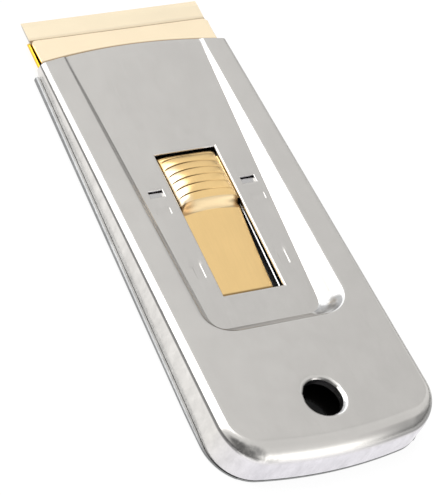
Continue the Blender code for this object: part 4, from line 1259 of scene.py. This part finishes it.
@dataclass
class BladeTray:
    """Lower jaw: a floor with side lips, a front edge turned up under the blade, and a tail."""

    plan: CarriagePlan
    half_width: float = 19.5 * MM
    reach: float = 6.4 * MM
    lip_bend: float = 0.3 * MM
    lip_setback: float = 0.4 * MM
    lip_corner: float = 0.5 * MM
    least_lip: float = 0.05 * MM
    tail_half: float = 7.1 * MM
    tail_spread: float = 0.9 * MM
    tail_fillet: float = 2.0 * MM
    tail_chamfer: float = 1.0 * MM
    tail_curl: float = 0.26 * MM
    tail_curl_rise: float = 0.18 * MM
    edge_roll: float = 0.08 * MM
    bend_steps: int = 6

    @property
    def floor_half(self) -> float:
        """Half the width of the flat floor between the lips' bends."""
        return self.half_width - self.plan.slide_sheet - self.lip_bend

    @property
    def neck_half(self) -> float:
        """Half the width of the tail where it leaves the floor."""
        return self.tail_half + self.tail_spread + self.tail_fillet

    @property
    def lip_front_y(self) -> float:
        """Front end of the side lips."""
        return self.plan.front_y + self.reach - self.lip_setback

    def build(self) -> None:
        """The tray as grids: a lip and floor profile along Y, an apron in front and the tail behind."""
        draft = Draft()
        tail_shares = np.concatenate([np.linspace(0.0, 0.92, 4), np.linspace(0.94, 1.0, 9)])
        self._floor(draft, tail_shares)
        self._tail(draft, mirrored(tail_shares))
        tray = draft.build("blade_tray_skin", (0, 0, 1), DEEP_GOLD, PLAIN_TAIL)
        finish_faces(tray.data, face_vectors(tray.data, "center")[:, 1] < self.plan.back_y)
        thicken(tray, self.plan.slide_sheet)
        middles, border = edge_middles(tray.data)
        corner = ((np.abs(middles[:, 0]) > self.floor_half - WELD)
                  & (middles[:, 1] > self.lip_front_y - self.lip_corner - WELD))
        roll_edges(tray, (border & ~corner).astype(float), self.edge_roll, steps=2)
        settle(tray, sharp_degrees=25.0)
        hand_over(tray, Body.CARRIAGE, "blade_tray")

    def _floor(self, draft: Draft, tail_shares: Array) -> None:
        """Floor with a quarter bend and an upright lip at each side, and the apron that rises in front.

        Args:
            draft: Where the grids go.
            tail_shares: Places of the tail's lines right of the middle, as shares of the neck.
        """
        plan = self.plan
        turn = quarter_turn(self.bend_steps)
        lengths = np.linspace(self.lip_front_y - self.lip_corner, plan.back_y, 12)[1:]
        y = np.append(self.lip_front_y - self.lip_corner * (1.0 - np.cos(turn)), lengths)
        drop = np.append(self.lip_corner * (1.0 - np.sin(turn)), np.zeros_like(lengths))
        lip_top = np.maximum(plan.blade_top - drop, plan.tail_top + self.lip_bend + self.least_lip)
        floor_x = np.append(self.neck_half * tail_shares, np.linspace(self.neck_half, self.floor_half, 6)[1:])
        bend_x = self.floor_half + self.lip_bend * np.sin(turn[1:])
        bend_z = plan.tail_top + self.lip_bend * (1.0 - np.cos(turn[1:]))
        x = mirrored(np.concatenate([floor_x, bend_x, bend_x[-1:]]))
        side_z = np.append(np.full_like(floor_x, plan.tail_top), bend_z)
        right_z = np.column_stack([np.broadcast_to(side_z, (len(y), len(side_z))), lip_top])
        draft.grid(surface(x, y[:, None], np.hstack([right_z[:, :0:-1], right_z])))

        rise = np.linspace(0.0, 1.0, self.bend_steps + 1)[:, None]
        apron_z = plan.tail_top + (plan.bed_top - plan.tail_top) * smooth(rise)
        draft.grid(surface(mirrored(floor_x), self.lip_front_y + self.lip_setback * rise, apron_z))

    def _tail(self, draft: Draft, share: Array) -> None:
        """Tail that narrows through a fillet and a taper, with its edges curled up by a parabola.

        Args:
            draft: Where the grid goes.
            share: Places of its lines from side to side, from -1 to 1.
        """
        plan = self.plan
        turn = quarter_turn(self.bend_steps)
        root_y = plan.back_y - self.tail_fillet
        taper_y = np.linspace(root_y, plan.tail_end_y + self.tail_chamfer, 10)[1:]
        y = np.concatenate([plan.back_y - self.tail_fillet * np.sin(turn), taper_y, [plan.tail_end_y]])
        half = np.concatenate([self.neck_half - self.tail_fillet * (1.0 - np.cos(turn)),
                               self.tail_half + self.tail_spread * np.linspace(1.0, 0.0, 10)[1:],
                               [self.tail_half - self.tail_chamfer]])[:, None]
        x = half * share
        curl = np.clip((np.abs(x) - half) / self.tail_curl + 1.0, 0.0, 1.0) ** 2
        curled = smooth((root_y - y) / self.tail_fillet) * smooth((y - plan.tail_end_y) / self.tail_chamfer)
        draft.grid(surface(x, y[:, None], plan.tail_top + self.tail_curl_rise * curl * curled[:, None]))


@dataclass
class Blade:
    """Single-edge blade: a strip ground to an edge along its front."""

    plan: CarriagePlan
    grind: float = 1.1 * MM
    spine_step: float = 0.25 * MM
    edge_half: float = 0.004 * MM
    end_facing: float = 0.9

    def build(self) -> None:
        """The strip: an upper and a lower row that close to the edge over the grind, carried across X."""
        plan = self.plan
        middle = (plan.blade_top + plan.blade_bottom) / 2
        flat_y = np.linspace(plan.blade_back_y + self.spine_step, plan.blade_edge_y - self.grind, 12)
        y = np.append(flat_y, plan.blade_edge_y)
        thick = np.full_like(y, (plan.blade_top - plan.blade_bottom) / 2)
        thick[-1] = self.edge_half
        ring = np.concatenate([np.column_stack([y, middle + thick]),
                               np.column_stack([y, middle - thick])[::-1]])
        x = np.linspace(-plan.blade_width / 2, plan.blade_width / 2, 13)
        draft = Draft()
        draft.bar(swept(ring, x))
        blade = draft.build("blade_strip_skin", None, GROUND_BLADE, BLADE_ENDS)
        finish_faces(blade.data, np.abs(face_vectors(blade.data, "normal")[:, 0]) > self.end_facing)
        settle(blade, sharp_degrees=4.0)
        hand_over(blade, Body.CARRIAGE, "blade_strip")


@dataclass
class ThumbTongue:
    """Spring tongue with the ribbed thumb hump, its side flanges and the latch ears."""

    plan: CarriagePlan
    hump: HumpPlan
    strip_half: float = 6.15 * MM
    root_half: float = 5.45 * MM
    root_front_y: float = -14.765 * MM
    sag: float = 0.396
    lip_height: float = 1.85 * MM
    crown: float = 0.5 * MM
    ramp_softness: float = 0.12
    nose: float = 2.585 * MM
    groove_depth: float = 0.1 * MM
    groove_width: float = 0.09 * MM
    rib_swell: float = 0.03 * MM
    fullness: Triple = (9.0, 4.5, 7.0)
    shoulder_power: float = 0.6
    rib_fade: float = 0.25
    flange: float = 0.85 * MM
    flange_front_y: float = 15.2 * MM
    flange_dish: float = 0.33 * MM
    ear_half: float = 11.4 * MM
    ear_y: Span = (5.835 * MM, 7.235 * MM)
    wing_overlap: float = 0.2 * MM
    wing_drop: float = 0.01 * MM
    columns: int = 73
    row_step: float = 0.6 * MM
    groove_rows: tuple[float, ...] = (0.3, 0.6, 1.0, 1.6, 2.4)

    @property
    def nose_y(self) -> float:
        """Where the hump's nose starts to fall."""
        return self.hump.front_y - self.nose

    def _climb(self, y: Array) -> Array:
        """Share of the strip's climb: a mix of s and s squared from the root to the hump."""
        share = np.clip((y - self.root_front_y) / (self.hump.rear_y - self.root_front_y), 0.0, 1.0)
        return self.sag * share + (1.0 - self.sag) * share ** 2

    def _rows(self) -> Array:
        """Places of the rows: even along the strip, close on the ramp and at every groove."""
        hump = self.hump
        groove = hump.rib_start_y + hump.pitch * np.arange(1, hump.grooves + 1)[:, None]
        close = groove + self.groove_width * mirrored(np.array([0.0, *self.groove_rows]))
        marks = [self.plan.tail_end_y, *np.linspace(self.root_front_y, hump.rear_y, 24),
                 *np.linspace(hump.rear_y, hump.lip_y, 25), *close.ravel(),
                 *(hump.front_y - self.nose * (1.0 - np.sin(quarter_turn(24))))]
        return filled_lines([mark for mark in marks if mark <= hump.front_y], self.row_step)

    def _heights(self, y: Array) -> tuple[Array, Array]:
        """Base level and crown height along the tongue.

        The hump climbs a straight ramp with soft ends
        to its lip, swells by a parabola over the ribs, and falls by a quarter ellipse at the nose.
        """
        plan, hump = self.plan, self.hump
        base = plan.root_top + (plan.slide_top - plan.root_top) * self._climb(y)
        climb = np.clip((y - hump.rear_y) / hump.ramp, 0.0, 1.0)
        ramp = climb - self.ramp_softness * np.sin(2 * math.pi * climb) / (2 * math.pi)
        along = np.clip((y - hump.lip_y) / (self.nose_y - hump.lip_y), 0.0, 1.0)
        fall = np.sqrt(1.0 - np.clip((y - self.nose_y) / self.nose, 0.0, 1.0) ** 2)
        height = self.lip_height * ramp * fall + self.crown * (1.0 - (2.0 * along - 1.0) ** 2)
        return base, height

    def _ribs(self, y: Array) -> Array:
        """Depth of the grooves, narrow bells, less the swell of the ribs between them."""
        turns = (y - self.hump.rib_start_y) / self.hump.pitch
        off = np.abs(turns - np.round(turns))
        cut = self.groove_depth * np.exp(-(off * self.hump.pitch / self.groove_width) ** 2)
        swell = self.rib_swell * np.cos(math.pi * off) ** 2
        inside = smooth(turns / 0.4) * smooth((self.hump.grooves + 0.9 - turns) / 0.6)
        lip = np.where(turns < 0.5, 0.0, cut)
        return np.where(turns > 0.0, inside * (lip + swell), 0.0)

    def build(self) -> None:
        """The tongue: at share u across, base plus crown times a power of (1 - |u|^n), less the grooves.

        The power n makes the hump square at its lip and nose and rounder between them.
        """
        y = self._rows()
        hump = self.hump
        base, height = self._heights(y)
        onto = smooth((y - hump.rear_y) / hump.ramp)
        over = smooth((y - self.nose_y) / self.nose)
        half = self.root_half + (self.strip_half - self.root_half) * self._climb(y)
        half += (hump.half - self.strip_half) * onto
        across = np.sin(np.linspace(-math.pi / 2, math.pi / 2, self.columns))
        at_lip, between, at_nose = self.fullness
        power = (between + (at_lip - between) * (1.0 - smooth((y - hump.lip_y) / (1.5 * hump.pitch)))
                 + (at_nose - between) * over)
        round_share = (1.0 - np.abs(across) ** power[:, None]) ** self.shoulder_power
        cut = self._ribs(y)[:, None] * smooth((1.0 - np.abs(across)) / self.rib_fade)
        z = base[:, None] + height[:, None] * round_share - cut
        bow = hump.rib_arc * onto * (1.0 - over)
        draft = Draft()
        draft.grid(surface(half[:, None] * across, y[:, None] - bow[:, None] * across ** 2, z))
        tongue = draft.build("thumb_tongue_skin", (0, 0, 1), WARM_GOLD)
        thicken(tongue, self.plan.slide_sheet)
        settle(tongue, sharp_degrees=40.0)
        self._add_wings(tongue)
        hand_over(tongue, Body.THUMB, "thumb_tongue")

    def _add_wings(self, tongue: Piece) -> None:
        """Flanges beside the hump, which rise outwards like a dish, and the flat latch ear on each."""
        low, high = self.ear_y
        inner, outer = self.hump.half - self.wing_overlap, self.hump.half + self.flange
        level = self.plan.slide_top - self.wing_drop
        draft = Draft()
        for side in (-1.0, 1.0):
            x, y = np.meshgrid(np.linspace(inner, outer, 9), [low, high, self.flange_front_y])
            dish = self.flange_dish * smooth((x - inner) / (outer - inner))
            draft.grid(surface(side * x, y, level + dish))
            x, y = np.meshgrid(np.linspace(outer, self.ear_half, 17), [low, high])
            dish = self.flange_dish * (1.0 - smooth((x - outer) / self.flange))
            draft.grid(surface(side * x, y, level + dish))
        wings = draft.build("tongue_wings", (0, 0, 1))
        thicken(wings, self.plan.slide_sheet - 2.0 * self.wing_drop)
        settle(wings, sharp_degrees=30.0)
        join_into(tongue, wings)


@dataclass
class HiddenSteel:
    """The blade's spine and the rivets, whose solids stay and get their finish."""

    nodes: tuple[str, ...] = ("blade_spine", "jaw_rivet_left", "jaw_rivet_right", "tongue_rivet_left",
                              "tongue_rivet_right")

    def dress(self) -> None:
        """Give each solid the rivets' finish."""
        steel = RIVET_STEEL.material()
        for node in self.nodes:
            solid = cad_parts[node]
            solid.data.materials.clear()
            solid.data.materials.append(steel)
            LOG.info("%s: solid kept", node)


@dataclass(frozen=True)
class SkyPatch:
    """A part of the surround that differs from the rest: a value times smooth steps over directions."""

    value: float
    steps: tuple[tuple[Triple, float, float], ...]

    def wire(self, wiring: Wiring, way: object) -> Socket:
        """Wire the patch.

        Args:
            wiring: The world's wiring.
            way: The unit vector away from the object.

        Returns:
            The socket of the patch's value, 0 outside it.
        """
        return wiring.product(*(wiring.between(wiring.toward(way, direction), low, high)
                                for direction, low, high in self.steps), self.value)


# Directions away from the object, and the patches of the surround that lie there.
EAST = (1.0, 0.0, 0.0)
NORTH = (0.0, 1.0, 0.0)
SIDE = (0.75, -0.66, 0.0)
FRONT_GLOW = SkyPatch(1.15, ((NORTH, 0.5, 0.68), (EAST, 0.25, 0.05)))
SIDE_FLAG = SkyPatch(-0.26, ((SIDE, 0.09, 0.15), (NORTH, 0.1, 0.3)))
SIDE_GLOW = SkyPatch(0.45, ((SIDE, 0.22, 0.3), (NORTH, 0.1, 0.3)))
FAR_GLOW = SkyPatch(1.0, ((EAST, 0.42, -0.1), (NORTH, 0.2, 0.36), (NORTH, 0.62, 0.5)))
REAR_GLOW = SkyPatch(1.0, ((NORTH, -0.2, -0.6), (EAST, -0.05, 0.3), (EAST, 0.68, 0.58)))


@dataclass
class Studio:
    """White table, a softbox, a pale surround with brighter and darker parts, and the camera."""

    eye: Triple = (-0.32971, -0.256865, 0.45907)
    right: Triple = (0.83445532, -0.40525263, 0.37343624)
    down: Triple = (-0.14676052, -0.81660085, -0.55823328)
    ahead: Triple = (0.53117386, 0.41101504, -0.74089201)
    lens: float = 250.68
    sensor: float = 36.0
    clip_start: float = 0.01
    floor_half: float = 2.0
    floor_z: float = -0.05 * MM
    hole_shade: Span = (5.0 * MM, 8.0 * MM)
    paper: tuple[float, float, float, float] = (0.86, 0.86, 0.86, 1.0)
    floor_light: float = 0.85
    shine_y: Span = (-62.0 * MM, -85.0 * MM)
    shine: Span = (1.05, 2.0)
    sky: float = 1.0
    horizon: float = 0.08
    sky_rise: Span = (0.0, 0.32)
    glow: Span = (0.1, 2.2)
    glow_rise: Span = (0.62, 0.2)
    photographer: tuple[Triple, ...] = ((-0.48, -0.52, 0.7), (-0.45, -0.75, 0.48))
    dark_cone: Span = (0.82, 0.95)
    dark_tone: float = 0.35
    lamp_distance: float = 0.7

    def camera(self) -> None:
        """The camera of the photograph's view: a long lens with no shift."""
        data = bpy.data.cameras.new("camera")
        data.lens = self.lens
        data.sensor_width = self.sensor
        data.clip_start = self.clip_start
        camera = bpy.data.objects.new("camera", data)
        bpy.context.scene.collection.objects.link(camera)
        axes = Matrix((self.right, -Vector(self.down), -Vector(self.ahead))).transposed()
        camera.matrix_world = Matrix.Translation(self.eye) @ axes.to_4x4()
        bpy.context.scene.camera = camera

    def floor(self) -> None:
        """White table top: mostly plain white to the camera and in mirrors, with a painted shadow under the
        hang hole and a painted glow that grows brighter behind the object, and clear from below.
        """
        lines = np.linspace(-self.floor_half, self.floor_half, 9)
        draft = Draft()
        draft.grid(surface(lines, lines[:, None], self.floor_z))
        floor = draft.build("table_top", (0, 0, 1))
        material = bpy.data.materials.new("white_table")
        material.use_nodes = True
        wiring = Wiring(material.node_tree)
        path = wiring.add("ShaderNodeLightPath").outputs
        seen = wiring.math("ADD", wiring.math("ADD", path["Is Camera Ray"], path["Is Glossy Ray"]),
                           path["Is Transmission Ray"], clamp=True)
        x, y, _ = wiring.parts(wiring.add("ShaderNodeTexCoord").outputs["Object"])
        # Painted shadow: round the point under the hang hole the table is dark paper with no white glow.
        from_hole = wiring.math("SUBTRACT", y, BodyPlan.hole_y)
        squares = (wiring.math("POWER", part, 2.0) for part in (x, from_hole))
        open_floor = wiring.between(wiring.math("SQRT", wiring.math("ADD", *squares)), *self.hole_shade)
        lit = wiring.product(seen, open_floor, self.floor_light)
        shade = wiring.mixed(PAINTED_SHADE_BLACK, self.paper, open_floor)
        paper = wiring.add("ShaderNodeBsdfDiffuse", None, {"Color": shade})
        # Painted glow: the white grows to about twice as bright behind the object, which the metal mirrors.
        white = wiring.add("ShaderNodeEmission", None,
                           {"Color": WHITE, "Strength": wiring.between(y, *self.shine_y, *self.shine)})
        mixed = wiring.add("ShaderNodeMixShader", None,
                           {0: lit, 1: paper.outputs[0], 2: white.outputs[0]})
        below = wiring.add("ShaderNodeNewGeometry").outputs["Backfacing"]
        clear = wiring.add("ShaderNodeBsdfTransparent")
        table = wiring.add("ShaderNodeMixShader", None, {0: below, 1: mixed.outputs[0], 2: clear.outputs[0]})
        wiring.add("ShaderNodeOutputMaterial", None, {"Surface": table.outputs[0]})
        floor.data.materials.append(material)

    def surround(self) -> None:
        """Pale surround with its glows, dark at the horizon and round the photographer's place."""
        world = bpy.data.worlds.new("studio")
        bpy.context.scene.world = world
        world.use_nodes = True
        wiring = Wiring(world.node_tree)
        way = wiring.add("ShaderNodeTexCoord").outputs["Generated"]
        up = wiring.parts(way)[2]
        sky = wiring.math("MAXIMUM", wiring.between(up, *self.sky_rise, self.horizon, self.sky),
                          FRONT_GLOW.wire(wiring, way))
        tone = 1.0
        for patch in (SIDE_FLAG, SIDE_GLOW, FAR_GLOW):
            tone = wiring.math("ADD", patch.wire(wiring, way), tone)
        photographer = wiring.math("MAXIMUM", *(wiring.toward(way, place) for place in self.photographer))
        seen = wiring.product(sky, tone, wiring.between(photographer, *self.dark_cone, 1.0, self.dark_tone))
        behind = wiring.product(REAR_GLOW.wire(wiring, way), wiring.between(up, *self.glow_rise, *self.glow))
        back = wiring.add("ShaderNodeBackground", None,
                          {"Color": WHITE, "Strength": wiring.math("ADD", seen, behind)})
        wiring.add("ShaderNodeOutputWorld", None, {"Surface": back.outputs[0]})

    def softbox(self, name: str, toward: Triple, across: Triple, size: Span, radiance: float) -> None:
        """A rectangular lamp that looks at the object.

        Args:
            name: Name of the lamp.
            toward: Direction of the lamp from the object.
            across: Direction of the lamp's width.
            size: Its width and height.
            radiance: Brightness of its face, where 1 is the surround's.
        """
        data = bpy.data.lights.new(name, "AREA")
        data.shape = "RECTANGLE"
        data.size, data.size_y = size
        data.energy = radiance * math.pi * size[0] * size[1]
        lamp = bpy.data.objects.new(name, data)
        bpy.context.scene.collection.objects.link(lamp)
        ahead = Vector(toward).normalized()
        upward = ahead.cross(Vector(across)).normalized()
        axes = Matrix((upward.cross(ahead), upward, ahead)).transposed()
        lamp.matrix_world = Matrix.Translation(ahead * self.lamp_distance) @ axes.to_4x4()

    def build(self) -> None:
        """Set up the whole studio."""
        bpy.context.scene.view_settings.view_transform = "Standard"
        self.camera()
        self.floor()
        self.surround()
        self.softbox("left_softbox", toward=(-0.391, 0.478, 0.792), across=(0.891, 0.0, 0.454),
                     size=(1.3, 0.24), radiance=2.4)
        LOG.info("studio set")


def main() -> None:
    """Build the pieces in order."""
    logging.basicConfig(level=logging.INFO, format="%(name)s: %(message)s")
    Studio().build()
    body = BodyPlan()
    carriage = CarriagePlan()
    TopShell(body).build()
    BackPlate(body).build()
    BladeTray(carriage).build()
    JawPlate(carriage).build()
    Blade(carriage).build()
    ThumbTongue(carriage, HumpPlan()).build()
    HiddenSteel().dress()


if __name__ == "__main__":
    main()
